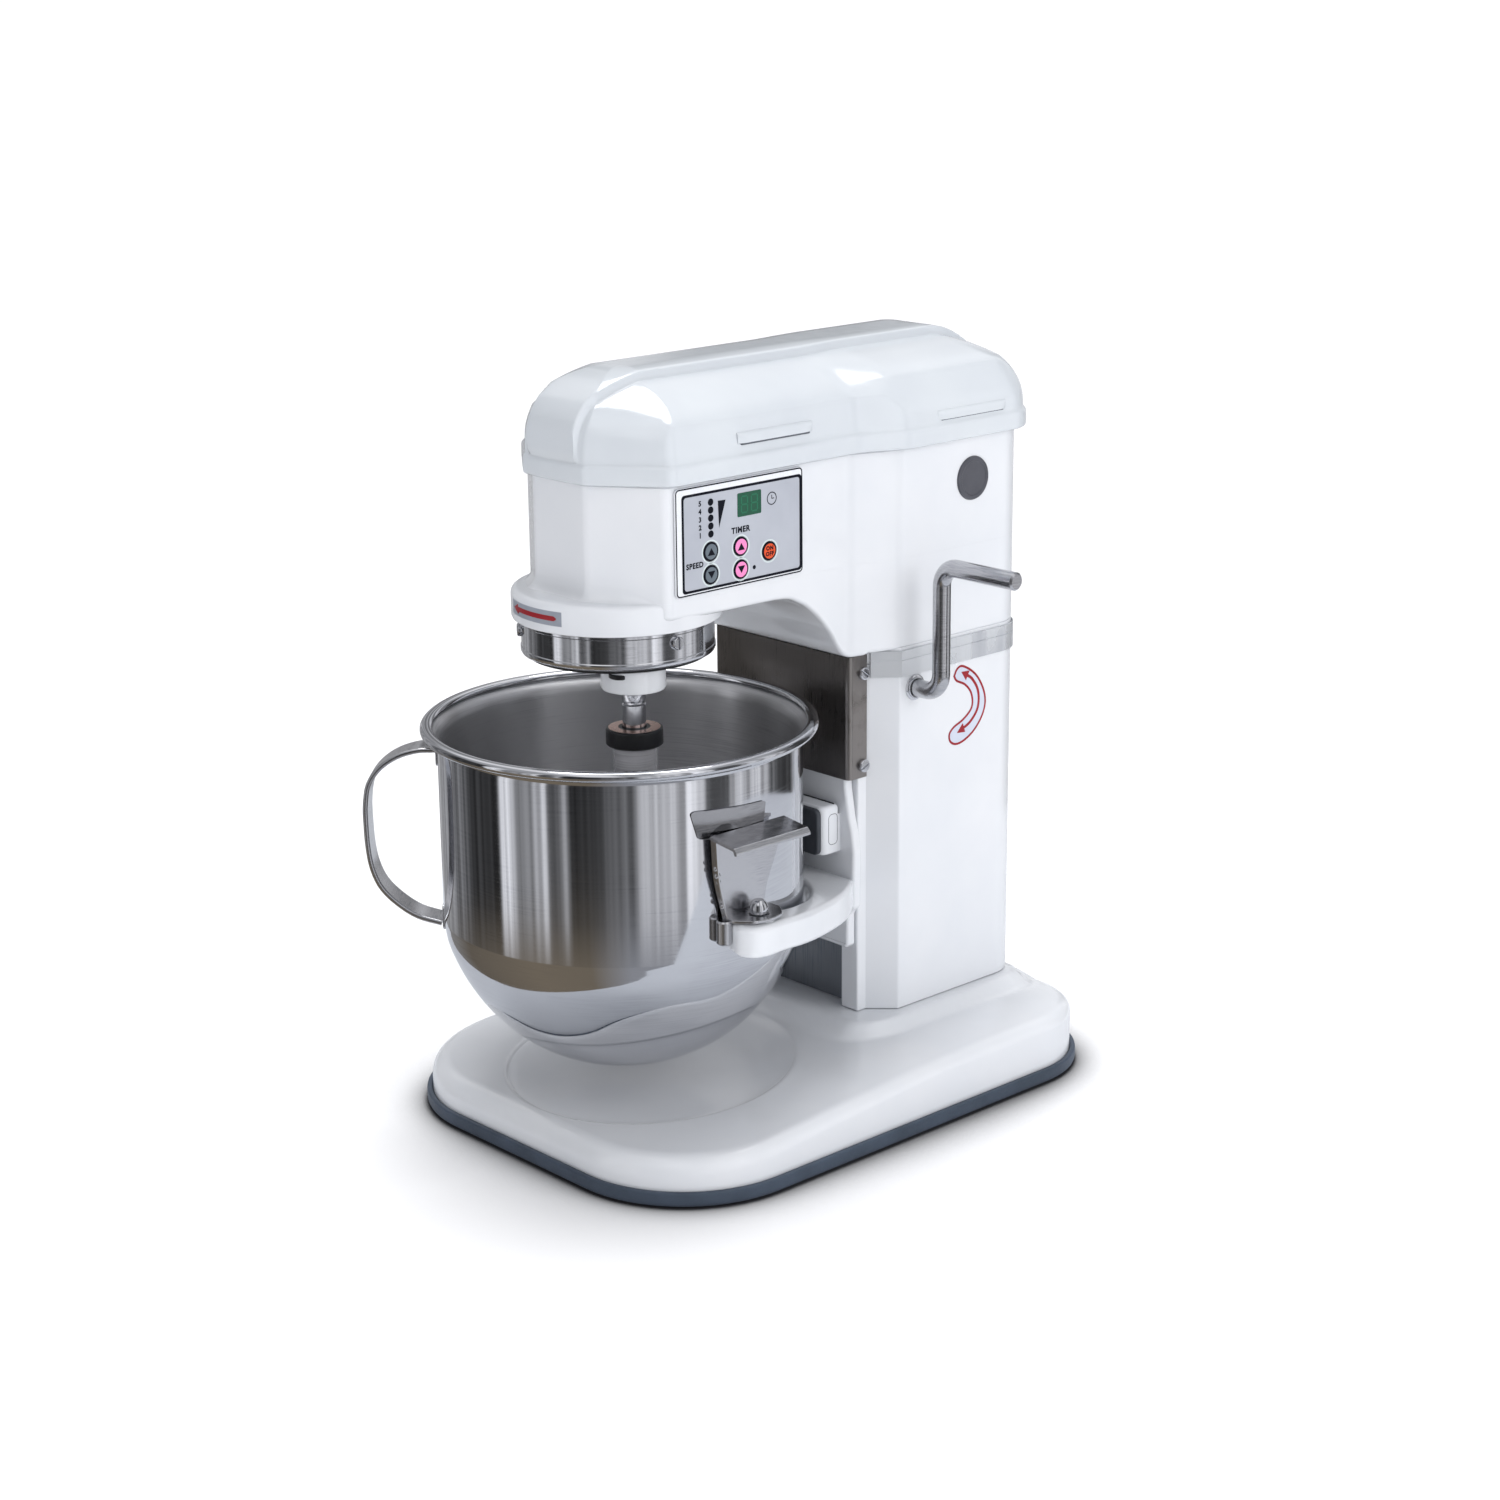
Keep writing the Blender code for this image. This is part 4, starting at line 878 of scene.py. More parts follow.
def build_agitator():
    x, y = PLANET.x, PLANET.y
    low, high = (v.z for v in span("agitator_shaft"))
    spindle = lathe([(0, low), (5.4, low), (6.3, low + 0.9), (6.3, 246.6), (5.9, 247), (5.6, 247.4),
                     (5.6, 248.3), (5.9, 248.7), (6.3, 249.1), (6.3, high - 0.6), (5.7, high), (0, high)],
                    PLANET, 48)
    pin = tube([(x - 11, y, 214), (x + 11, y, 214)], 2.2, 16, 0.4)
    piece("agitator_spindle", merged(spindle, pin), CHROME, "agitator_shaft", "planet")
    low, high = (v.z for v in span("agitator_collar"))
    collar = lathe([(12.2, low - 2.6), (14.4, low - 2.6), (15.2, low - 1.8), (15.2, high - 1.2),
                    (14.9, high - 0.5), (14.1, high - 0.1), (6.7, high - 0.1), (6.7, low), (12.2, low)],
                   PLANET, 72, closed=True)
    piece("collar_rubber", collar, BLACK, "agitator_collar", "planet")
    washer = lathe([(8.6, high - 0.3), (14, high - 0.3), (14, high - 0.15), (13.6, high), (8.6, high)],
                   PLANET, 72, closed=True)
    piece("collar_washer", washer, COPPER, body="planet")
    low, high = (v.z for v in span("flat_beater"))
    sleeve = lathe([(7.2, 206), (7.2, high - 0.6), (7.8, high), (11.3, high), (12, high - 0.8), (12, 181),
                    (11.6, 180.3), (11.6, 179.6), (12, 179), (12, 168), (10.4, 160), (0, 158), (0, 206)],
                   PLANET, 72)
    window = slab(fillet(rect(-3.1, 3.1, 208, 228.5), [2.9, 2.9, 0, 0], 5), -20, 20)
    sleeve = cut_away(sleeve, turn_to_y(window, y))
    half = [(0, 168), (22, 166), (44, 158), (56, 148), (58, 138), (54, 124), (47, 112), (36, 100), (20, 89),
            (7, 83), (0, low)]
    hole = [(6, 155), (24, 154), (40, 147.5), (47, 138), (44, 126), (37, 114), (26, 103), (12, 95), (6, 93)]
    outer = fillet([(x + u, v) for u, v in half + [(-u, v) for u, v in reversed(half[1:-1])]], 9, 5)
    holes = [fillet([(x + side * u, v) for u, v in hole], 4, 5) for side in (-1, 1)]
    blade = turn_to_y(flat_shape([outer] + holes, 8, 2.2), y + 4)
    piece("beater_blade", blade, BEATER, body="planet", sharp=45)
    piece("beater_sleeve", sleeve, SLEEVE, "flat_beater", "planet")


# ---- bowl ---------------------------------------------------------------------------------------
BOWL_R, BOWL_WALL = 98, 1.6
BEAD_R, BEAD_Z = 103.4, 229.8
HANDLE_TURN = 225
PIN_X = 108


def build_bowl():
    low, high = span("mixing_bowl")
    low, side, top = low.z, high.x, high.z
    lower = spline([(0, low + 0.9), (8, low + 0.6), (14, low), (27, 44.2), (42, 48.6), (55.5, 56), (68, 66),
                    (78.6, 78), (86.6, 90), (92.6, 102), (96.6, 113.5), (BOWL_R, 126)], 5)
    outer = lower + [(BOWL_R, z) for z in (150, 178, 206, 214, 222)]
    outer += spline([(98, 223.4), (98.2, 225), (98.9, 226.2), (100.6, 226.9), (103.6, 227)], 4)
    bead = [(min(BEAD_R + (r - BEAD_R) * 1.2, side), min(z, top))
            for r, z in arc(BEAD_R, BEAD_Z, 2.9, -90, 215, 18)]
    turned_in = len(outer) + len(bead) - 1
    neck = spline([(100.2, 227.6), (98.4, 225.8), (97, 223), (96.45, 219), (96.4, 206)], 4)
    inside = []
    for r, z in reversed(lower):
        r = max(0, r - BOWL_WALL)
        if r > 1:
            inside.append((r, z + (BOWL_WALL if r < 60 else BOWL_WALL * 0.7 if r < 85 else 0)))
    profile = outer + bead + neck + [(96.4, 178), (96.4, 150)] + inside + [(0, low + 2.6)]
    bowl = lathe(profile, PLANET_AXIS, 160, finish_of=lambda k: 0 if k < turned_in else 1)
    piece("bowl_shell", bowl, [BOWL_OUT, BOWL_IN], "mixing_bowl", "bowl", 60)


def build_bowl_handle():
    """Bent strip on the side of the bowl, with a welded pad at each end."""
    c = Vector((PLANET_AXIS.x, PLANET_AXIS.y, 0))
    mid = Vector((*polar(1, HANDLE_TURN), 0))
    across = Vector((-mid.y, mid.x, 0))
    line = spline([(99.1, 215.8), (109, 215.4), (120, 212), (129.5, 205.5), (135.8, 196.5), (138, 185),
                   (138.2, 174), (137.6, 160), (135.6, 148), (131, 137.5), (122.5, 128.5), (112, 121.5),
                   (99.1, 117.6)], 4)
    section = fillet(rect(-9, 9, 0, 2.8), 2.8 * 0.42, 4)
    rings = []
    for i, (r, z) in enumerate(line):
        a, b = line[max(0, i - 1)], line[min(len(line) - 1, i + 1)]
        t = Vector((b[0] - a[0], b[1] - a[1])).normalized()
        out = mid * t.y + Vector((0, 0, -t.x))
        if t.y < 0:
            out = -out
        spot = c + mid * r + Vector((0, 0, z)) - out * 1.4
        rings.append([spot + across * u + out * v for u, v in section])
    parts = [skinned(rings)]
    for z, r in ((214, BOWL_R), (121, 97.6)):
        rings = []
        for d, g in ((-0.4, 0), (0.9, 0), (1.3, 0.5)):
            pad = fillet(rect(-9.5 + g, 9.5 - g, -7 + g, 7 - g), 2.5, 4)
            rings.append([(*polar(r + d, HANDLE_TURN + math.degrees(u / BOWL_R), c.x, c.y), z + v)
                          for u, v in pad])
        parts.append(skinned(rings))
    piece("bowl_grip", merged(*parts), SATIN, "bowl_handle", "bowl", 40)


def build_bowl_ear(side, name):
    """Sheet ear on the bowl: weld tab, sloping top lip, upright and foot plate round the pin."""
    low, high = span(f"bowl_bracket_{name}")
    c = PLANET_AXIS
    x_in, x_out = sorted((abs(low.x), abs(high.x)))
    front, back, top = low.y, high.y - 1, high.z
    outline = subdivided(fillet([(-19.6, 207), (-17, 192), (7, 188), (8.7, 204)], 1.5, 3), 3)
    tab = skinned([[(*polar(BOWL_R + d, a, c.x, c.y), z) for a, z in inset(outline[::-1], g)]
                   for d, g in ((0.1, 0), (0.6, 0), (0.8, 0.2))])
    profile = fillet([(x_in - 0.2, top), (x_out - 2, top - 2.2), (x_out, top - 4.4), (x_out, top - 6),
                      (x_out - 1.5, top - 6), (x_out - 2.6, top - 3.8), (x_in - 0.2, top - 1.7)],
                     [0, 1.5, 0.8, 0.3, 0.3, 0.6, 0], 3)
    places = (front, front + 0.4, front + 14, back - 14, back - 0.4, back)
    lip = skinned([[(x, y, z) for x, z in profile] for y in places])
    end = back - 2
    up = [(front + 7.5, low.z), (end - 15, low.z), (end - 12, 160), (end - 5, 176), (end, top - 0.8),
          (front, top - 0.8), (front + 2, 170), (front + 7.5, 152)]
    upright = slab(subdivided(fillet(up, [1, 3, 8, 8, 2, 2, 8, 6], 5), 4), 0, 1.7, 0.2, 0.5, 3)
    line = spline([(front + 0.9, top - 1.6), (front + 2.6, 170), (front + 7.9, 150),
                   (front + 8.2, low.z + 1)], 6)
    section = ((0.2, -0.9), (3.4, -0.9), (3.9, -0.5), (3.9, 0.2), (3.4, 0.6), (0.2, 0.6))
    fold = skinned([[(x_in + u, y + v, z) for u, v in section] for y, z in line])
    plan = fillet([(x_in, -114), (107, -114), (115.5, -107), (118, -97), (115.5, -87), (107, -81),
                   (x_in, -81)], [0.6, 4, 6, 9, 6, 4, 0.6], 5)
    foot = moved(flat_shape([plan, circle(PIN_X, c.y, 5.4, 40)], 1.8, 0.4), 0, 0, low.z)
    parts = [tab, lip, turn_to_x(upright, x_in), fold, foot]
    for z, r in ((176.5, 1.5), (172.6, 1.8), (169, 1.4), (158.5, 1.3), (155, 1.6)):
        bead = bmesh.new()
        bmesh.ops.create_uvsphere(bead, u_segments=16, v_segments=10, radius=r)
        parts.append(moved(bead, x_in + 2.2, front + 1.6 + (176.5 - z) * 0.2, z))
    parts.append(tube([(100.6, -114.4, 134), (100.6, -114.4, 147)], 4.4, 24, 0.8))
    ear = to_side(merged(*parts), side)
    piece(f"bowl_ear_{name}", ear, SATIN, f"bowl_bracket_{name}", "bowl")


# ---- lifting fork -------------------------------------------------------------------------------
ARM_TOP = spline([(-125, 146), (-97, 145.6), (-80, 143.6), (-60, 140), (22.9, 125.2), (30, 125)], 8)
ARM_BOTTOM = spline([(-125, 129.4), (-97, 128.4), (-80, 126.2), (-60, 122.4), (22.9, 107), (30, 106.5)], 8)


def build_fork():
    low, high = span("bowl_yoke")
    c = PLANET_AXIS
    outer = spline([(104, -112.5), (111.5, -114.5), (118, -111.5), (high.x, -105), (120.6, -97),
                    (117.5, -86), (112.5, -70), (101.5, -45), (82, -10), (66, 12), (56.5, 22.9), (54, 28.6)],
                   4)
    inner = [polar(101, a, c.x, c.y) for a in range(84, -9, -2)]
    outline = both_sides(outer) + [(-x, y) for x, y in reversed(inner)] + inner
    rings = edge_rings(outline, lambda p, q: curve_at(ARM_BOTTOM, q[1]), 3, 5)
    rings += edge_rings(outline, lambda p, q: curve_at(ARM_TOP, q[1]), 3, 5, -1)
    arms = bmesh.new()
    rows = skin(arms, rings, caps=(False, False))
    for corners in tessellate_polygon([[Vector((x, y, 0)) for x, y in outline]]):
        for row in (rows[0], rows[-1]):
            arms.faces.new([row[k] for k in corners])
    plate = both_sides([(50, low.z), (52, low.z + 2), (52, 104), (56.5, 108), (57, 140), (55.4, 152),
                        (53, 160), (50, 178), (50, high.z)])
    radii = [1.5, 1.5, 6, 4, 20, 20, 20, 30, 13]
    plate = subdivided(fillet(plate, radii + radii[::-1], 8), 5)
    upright = turn_to_y(slab(plate, 0, 6.2, 1.4, 1.8), 29.1)
    block = slab(fillet(rect(-46.4, 46.4, 9.5, 24), [3.5, 3.5, 0.5, 0.5]), 139.6, 162.1, 1.4, 0.4)
    cap = slab(fillet(rect(-46.5, 46.5, 8.5, 20.9), [4.5, 4.5, 0.5, 0.5]), 139.5, 168, 1.5, 2.4, 5)
    tongue = slab(rect(-12, 12, 27.5, high.y), 205, high.z, 0.8, 0.8, 2)
    bosses = [lathe([(4.4, 145.4), (8.4, 145.4), (8.4, 145.9), (7.9, 146.35), (4.4, 146.35)],
                    (side * PIN_X, c.y), 40, closed=True) for side in (-1, 1)]
    casting = merged(arms, upright, block, cap, tongue, *bosses)
    piece("yoke_casting", casting, ENAMEL, "bowl_yoke", "yoke", 50)
    line = fillet(rect(13.4, 20.5, 145, 163), 2.6, 5)
    for side, name in SIDES:
        rim = to_side(turn_to_x(flat_shape([line, inset(line, 0.35)], 0.12), 46.44), side)
        piece(f"rest_outline_{name}", rim, INK_GREY, body="yoke")
    pad_low, pad_high = span("bowl_rest_pad")
    pad = slab(fillet(rect(pad_low.x, pad_high.x, pad_low.z, pad_high.z), 3.5), 0, pad_high.y - pad_low.y,
               0.2, 1.1)
    piece("rest_pad_rubber", turn_to_y(pad, pad_high.y), PAD, "bowl_rest_pad", "yoke", 50)
    for side, name in SIDES:
        foot, top = (v.z for v in span(f"locating_pin_{name}"))
        pin = lathe([(0, foot), (3.4, foot), (4, foot + 0.8), (4, 147), (4.3, 148), (4.75, 149.2),
                     (4.9, 150.6), (4.85, 152), (4.5, 153.4), (3.9, 154.6), (3.2, 155.4), (2.6, top),
                     (0, top)], (side * PIN_X, c.y), 40)
        piece(f"ball_pin_{name}", pin, CHROME, f"locating_pin_{name}", "yoke")


# ---- guard and crank ----------------------------------------------------------------------------
def build_guard():
    low, high = span("splash_guard")
    w, t = high.x, 1
    outer = fillet([(-w, high.y), (-w, low.y), (w, low.y), (w, high.y)], [0, 3.2, 3.2, 0], 8, closed=False)
    w -= t
    inner = fillet([(-w, high.y), (-w, low.y + t), (w, low.y + t), (w, high.y)], [0, 2.2, 2.2, 0], 8,
                   closed=False)
    sheet = slab(outer + inner[::-1], low.z, high.z, 0.25, 0.25, 2)
    piece("guard_sheet", sheet, GUARD, "splash_guard")
    for side, name in SIDES:
        for level, spin in (("low", 24), ("high", -38)):
            node = f"guard_screw_{name}_{level}"
            c = middle(node)
            head = turn_to_x(spun(screw_head(3.7, 2.2, 1, 0.9), spin, "Z"), 54.95, c.y, c.z)
            shank = tube([(49.2, c.y, c.z), (55.2, c.y, c.z)], 1.45, 12, 0.2)
            bolt = to_side(merged(head, shank), side)
            piece(f"guard_bolt_{name}_{level}", bolt, CHROME, node)
    for k in range(3):
        head = turn_to_x(spun(screw_head(3.6, 2.4, 1, 1), 90 + 22 * k, "Z"), 51.2, 0, 283)
        shank = tube([(48.2, 0, 283), (51.4, 0, 283)], 1.6, 12, 0.2)
        bolt = moved(spun(merged(head, shank), -4 + 120 * k, "Z"), PLANET_AXIS.x, PLANET_AXIS.y, 0)
        piece(f"ring_bolt_{k + 1}", bolt, CHROME, f"ring_screw_{k + 1}")


def build_crank():
    low, high = span("crank_handle")
    y, z = (low.y + high.y) / 2, middle("lift_pinion").z
    knee, bend = 86.5, 11
    line = fillet([(8, z), (knee, z), (knee, high.z - 5), (high.x, high.z - 5)], [0, bend, bend, 0], 12,
                  closed=False)
    grip = tube([(u, y, v) for u, v in subdivided(line, 6, closed=False)], 4.98, 32, 1)
    journal = tube([(low.x, y, z), (9, y, z)], 3.9, 24, 0.5)
    piece("crank_bar", merged(grip, journal), SATIN, "crank_handle", "crank", 40)
    low, high = (v.x for v in span("crank_bush"))
    bush = lathe([(5.35, low), (6.5, low), (6.6, low + 0.4), (6.6, 66.4), (7.3, 66.6), (7.3, 67),
                  (6.9, 67.3), (6, 67.4), (6, high - 0.4), (5.9, high - 0.1), (5.7, high), (5.5, high),
                  (5.35, high - 0.3)], (0, 0), 64, closed=True)
    c = middle("crank_bush")
    piece("crank_collar", turn_to_x(bush, 0, c.y, c.z), CHROME, "crank_bush")


# ---- panel and small parts -------------------------------------------------------------------
PRINT = 0.05
LAMP_Y, LAMP_Z, LAMP_STEP = -82, 355.4, 4.17
KEYS = {"button_speed_up": (KEY_SLATE, "slate_key", 1), "button_speed_down": (KEY_SLATE, "slate_key", -1),
        "button_timer_up": (KEY_PINK, "pink_key", 1), "button_timer_down": (KEY_PINK, "pink_key", -1),
        "button_power": (KEY_RED, "red_key", 0)}


def print_on_panel(name, parts, lift, finish=INK_NAVY):
    """Flat artwork drawn in (Y, Z), laid lift millimetres above the face of the panel."""
    art = turn_to_x(merged(*parts), span("panel_overlay")[1].x + lift)
    piece(name, art, finish, sharp=38)


def build_panel():
    low, high = span("panel_overlay")
    y0, y1, z0, z1 = low.y, high.y, low.z, high.z
    keys = [middle(node) for node in KEYS]
    holes = [circle(k.y, k.z, 5.35, 40) for k in keys]
    film = flat_shape([fillet(rect(y0, y1, z0, z1), 2.6, 8)] + holes, high.x - low.x, 0.12)
    piece("panel_film_sheet", turn_to_x(film, low.x), MARGIN, "panel_overlay")
    face = flat_shape([fillet(rect(-101.4, -17.9, 310.2, 360.8), 2.6)] + holes, 0.04)
    print_on_panel("panel_face", [face], -0.015, FILM)
    frames = {"panel_line_outer": (-0.02, (y0 + 0.2, y1 - 0.2, z0 + 0.2, z1 - 0.2), 2.4,
                                   (y0 + 0.95, y1 - 0.95, z0 + 0.95, z1 - 0.95), 1.65),
              "panel_line_inner": (0.01, (-102, -17.4, 309.7, 361.3), 2, (-100.5, -18.9, 311.1, 359.9), 1.6)}
    for name, (lift, outer, r_out, inner, r_in) in frames.items():
        print_on_panel(name, [flat_shape([fillet(rect(*outer), r_out), fillet(rect(*inner), r_in)], PRINT)],
                       lift)
    rings = [flat_shape([circle(k.y, k.z, 6.3, 48), circle(k.y, k.z, 5.4, 48)], 0.06) for k in keys]
    print_on_panel("panel_key_rings", rings, 0, HALO)
    words = [lettering("TIMER", 4.3, -61.2, 337.8, PRINT), lettering("SPEED", 4, -93.4, 323.6, PRINT)]
    lamps = []
    for k in range(5):
        z = LAMP_Z - LAMP_STEP * k
        words += [lettering(str(5 - k), 3.7, -89.4, z, PRINT),
                  flat_shape([circle(LAMP_Y, z, 1.9, 28)], PRINT)]
        lamps.append(flat_shape([circle(LAMP_Y, z, 0.7, 16)], PRINT))
    wedge = [(-76.3, 341), (-71.6, 355.2), (-77, 355.4)]
    hands = [rect(-39.15, -38.65, 351, 353.1), rect(-39.1, -37.2, 350.95, 351.4)]
    words += [flat_shape([shape], PRINT) for shape in [wedge, circle(-51.8, 316.4, 1.15, 16)] + hands]
    words.append(flat_shape([circle(-38.9, 351.2, 3.5, 40), circle(-38.9, 351.2, 2.95, 40)], PRINT))
    print_on_panel("panel_print", words, 0.01)
    print_on_panel("panel_lamp_lenses", lamps, 0.03)


def build_display():
    """Window with two digits of faint, unlit segments."""
    low, high = span("panel_display")
    glass = slab(fillet(rect(low.y, high.y, low.z, high.z), 0.8, 4), 0, high.x - low.x - 0.05, 0, 0.08, 2)
    piece("display_lens", turn_to_x(glass, low.x), GLASS, "panel_display")
    a = 4.3
    segment = [(0.5, -0.4), (a - 0.5, -0.4), (a - 0.2, 0), (a - 0.5, 0.4), (0.5, 0.4), (0.2, 0)]
    lying = [[(u - a / 2, v + z) for u, v in segment] for z in (a, 0, -a)]
    standing = [[(x - v, u + z) for u, v in segment] for x in (-a / 2, a / 2) for z in (0, -a)]
    c = (low + high) / 2
    bars = [flat_shape([[(c.y + shift + u, c.z + v) for u, v in bar]], 0.04) for shift in (-3.5, 3.5)
            for bar in lying + standing]
    piece("display_segments", turn_to_x(merged(*bars), high.x - 0.06), SEGMENT)


def build_keys():
    for node, (finish, slot, way) in KEYS.items():
        low, high = span(node)
        c, r, top = (low + high) / 2, (high.y - low.y) / 2, high.x - 0.14
        profile = [(0, low.x), (r - 0.3, low.x), (r, low.x + 0.3), (r, top - 0.45), (r - 0.12, top - 0.15),
                   (r - 0.4, top), (r - 0.95, top), (r - 1, top + 0.03), (0, top + 0.1)]
        cap = lathe(profile, (0, 0), 56, finish_of=lambda k: 1 if 1 < k < 6 else 0)
        body = node.replace("button", "key")
        piece(f"{body}_cap", turn_to_x(cap, 0, c.y, c.z), [finish, INK_NAVY], node, body)
        if way:
            corners = ((-2.5, -1.9375), (2.5, -1.9375), (0, 1.9375))
            mark = flat_shape([[(c.y + u, c.z + way * v) for u, v in corners]], 0.06)
        else:
            mark = merged(lettering("ON", 3.1, c.y, c.z + 1.5, 0.06),
                          lettering("OFF", 3.1, c.y, c.z - 1.5, 0.06))
        piece(f"{body}_mark", turn_to_x(mark, top + 0.05), INK_NAVY, body=body)


def build_brush_plugs():
    for side, name in SIDES:
        low, high = span(f"brush_plug_{name}")
        c, r, top = (low + high) / 2, (high.y - low.y) / 2, high.x - low.x
        plug = lathe([(0, 0), (r - 0.3, 0), (r, 0.3), (r, top - 1.4), (r - 0.4, top - 0.5), (r - 1.3, top),
                      (r - 2.4, top), (r - 3, top - 0.5), (0, top - 0.5)], (0, 0), 80)
        plug = to_side(turn_to_x(plug, min(abs(low.x), abs(high.x)), c.y, c.z), side)
        piece(f"brush_cap_{name}", plug, PLUG, f"brush_plug_{name}", sharp=32)


def build_inlet():
    """Rear power socket: a black flange round a recess with three flat contacts."""
    low, high = span("rear_power_inlet")
    z = (low.z + high.z) / 2
    plate = fillet(rect(low.x, high.x, low.z, high.z), 2, 5)
    mouth = fillet([(-9.2, z - 6), (9.2, z - 6), (9.2, z + 3), (6.4, z + 6), (-6.4, z + 6), (-9.2, z + 3)],
                   1, 3)
    flange = turn_to_y(flat_shape([plate, mouth], 2.6, 0.4), 156)
    wall = turn_to_y(flat_shape([fillet(rect(-12, 12, z - 8.4, z + 8.4), 1.5, 4), mouth], 15, 0.2), high.y)
    floor = turn_to_y(slab(fillet(rect(-11.8, 11.8, z - 8.2, z + 8.2), 1.4, 4), 0, 1.6), 145)
    piece("inlet_body", merged(flange, wall, floor), BLACK, "rear_power_inlet")
    pins = [turn_to_y(slab(rect(x - w, x + w, z + up - h, z + up + h), 0, 9, 0, 0.3, 2), 154)
            for x, up, w, h in ((-4.6, -1.6, 0.5, 1.6), (4.6, -1.6, 0.5, 1.6), (0, 2.6, 1.6, 0.5))]
    piece("inlet_contacts", merged(*pins), CHROME)
    screws = [moved(spun(screw_head(1.1, 0.5, 0.35, 0.3), -90, "X"), x, 155.9, z) for x in (-13.6, 13.6)]
    piece("inlet_screws", merged(*screws), CHROME)


# ---- labels -------------------------------------------------------------------------------------
def collar_sticker(name, points, r, thick, finish):
    """Flat label wrapped round the collar; its (degrees, z) points are dense, so it follows the wall."""
    c = PLANET_AXIS
    points = subdivided(points, 2)
    bm = skinned([[(*polar(s, a, c.x, c.y), z) for a, z in points] for s in (r, r + thick)])
    bmesh.ops.triangulate(bm, faces=[face for face in bm.faces if len(face.verts) > 4])
    piece(name, bm, finish, sharp=50)


def label_collar():
    """Turning-direction label round the front of the collar."""
    a0, a1, z = -116, -71, 298.15
    collar_sticker("collar_label", rect(a0, a1, z - 3.85, z + 3.85), 56.16, 0.08, LABEL_GREY)
    arrow = [(a0 + 9, z - 1.3), (a1 - 5, z - 1.3), (a1 - 3.5, z - 0.4), (a1 - 3.5, z + 0.4),
             (a1 - 5, z + 1.3), (a0 + 9, z + 1.3), (a0 + 9, z + 2.7), (a0 + 3, z), (a0 + 9, z - 2.7)]
    collar_sticker("collar_arrow", arrow, 56.22, 0.09, INK_RED)


def label_column():
    """Fan-shaped label beside the crank with a two-headed arrow."""
    rim = [(92, 231.6), (94.6, 235.9), (99.8, 237), (109.8, 231), (116.6, 222), (119.3, 212.7),
           (116.9, 204.3), (110.4, 196.8), (102.2, 192.2), (94.8, 191), (89.6, 193.6), (88.6, 198.6),
           (92.4, 202.4), (99.8, 205.4), (105.8, 209.6), (107.4, 213.8), (106, 219.6), (101.2, 224.8),
           (94.4, 228.2)]
    rim = spline(rim + rim[:1], 5)[:-1][::-1]
    way = spline([(101.6, 231.4), (107.6, 227.4), (112.6, 219.4), (112.4, 209.6), (106.4, 202.6),
                  (98.8, 199.2)], 8)
    way = [Vector(p) for p in way]
    left, right = [], []
    for a, b in zip(way, way[1:]):
        d = (b - a).normalized()
        aside = Vector((-d.y, d.x)) * 0.85
        left.append(tuple(a + aside))
        right.append(tuple(a - aside))
    shapes = [left + right[::-1]]
    for tip, tail in ((way[0], way[5]), (way[-1], way[-6])):
        d = (tip - tail).normalized()
        aside = Vector((-d.y, d.x)) * 3
        shapes.append([tuple(tip + d * 3.6), tuple(tip - d * 2.6 + aside), tuple(tip - d * 2.6 - aside)])
    arrow = merged(*[flat_shape([shape], 0.06 + 0.01 * k) for k, shape in enumerate(shapes)])
    line = flat_shape([rim, inset(rim, 1.3)], 0.06)
    for name, art, lift, finish in (("column_label", flat_shape([rim], 0.08), 0.01, LABEL_BLUE),
                                    ("column_label_line", line, 0.09, INK_RED),
                                    ("column_label_arrow", arrow, 0.09, INK_RED)):
        piece(name, turn_to_x(art, COL_HALF + lift), finish)


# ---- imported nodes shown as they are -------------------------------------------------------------
CARRIED = ((PLATE, "base_cover_plate column_slot_plate motor_plate"),
           (CHROME,
            "base_screw_1 base_screw_2 base_screw_3 base_screw_4 lower_bearing upper_bearing motor_shaft"),
           (SATIN, "planet_gear lift_rack"), (CAST, "ring_gear large_pulley bearing_housing motor_pulley"),
           (BLACK, "drive_belt"), (PLUG, "motor_can"), (BRONZE, "lift_pinion"),
           (BOARD, "power_board panel_board"))


def dress_carried():
    for finish, names in CARRIED:
        for name in names.split():
            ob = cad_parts[name]
            for slot in ob.material_slots:
                slot.material = finish
            if not ob.material_slots:
                ob.data.materials.append(finish)


# ---- stage ----------------------------------------------------------------------------------------
def card(name, cx, cy, rx, ry, z, finish):
    """Oval flat sheet lying at height z, in metres."""
    bm = bmesh.new()
    bm.faces.new([bm.verts.new((cx + rx * x, cy + ry * y, z)) for x, y in circle(0, 0, 1, 96)])
    ob = linked(name, mesh_of(name, bm))
    ob.data.materials.append(finish)
    return ob


def build_stage():
    """White floor, darkened near the machine as a painted contact shadow. Polished metal sees only the sheet
    under the machine and the studio round it.
    """
    g = material("floor_painted_contact_shadow")
    # painted contact shadow: ambient occlusion turns the floor's colour from white to dark grey close under
    # and round the machine
    near = g.add("ShaderNodeAmbientOcclusion", {"Distance": 0.06}, samples=12).outputs["AO"]
    tone = g.tint(g.spread(near, 0, 1, 0.5, 0.93), "#3c3c40", "#fefeff", 0, 1)
    ground = g.join(Base_Color=tone, Roughness=0.9, Specular_IOR_Level=0.1)
    card("floor", 0, 0, 40, 40, -0.0004, ground).visible_glossy = False
    g = material("table_paper")
    paper = g.join(Base_Color=g.tint(g.noise(3, detail=2), "#c4c7cd", "#ccd0d6"), Roughness=0.8)
    table = card("table_sheet", 0.08, 0.16, 0.56, 0.43, 0, paper)
    table.visible_camera = table.visible_shadow = table.visible_diffuse = False


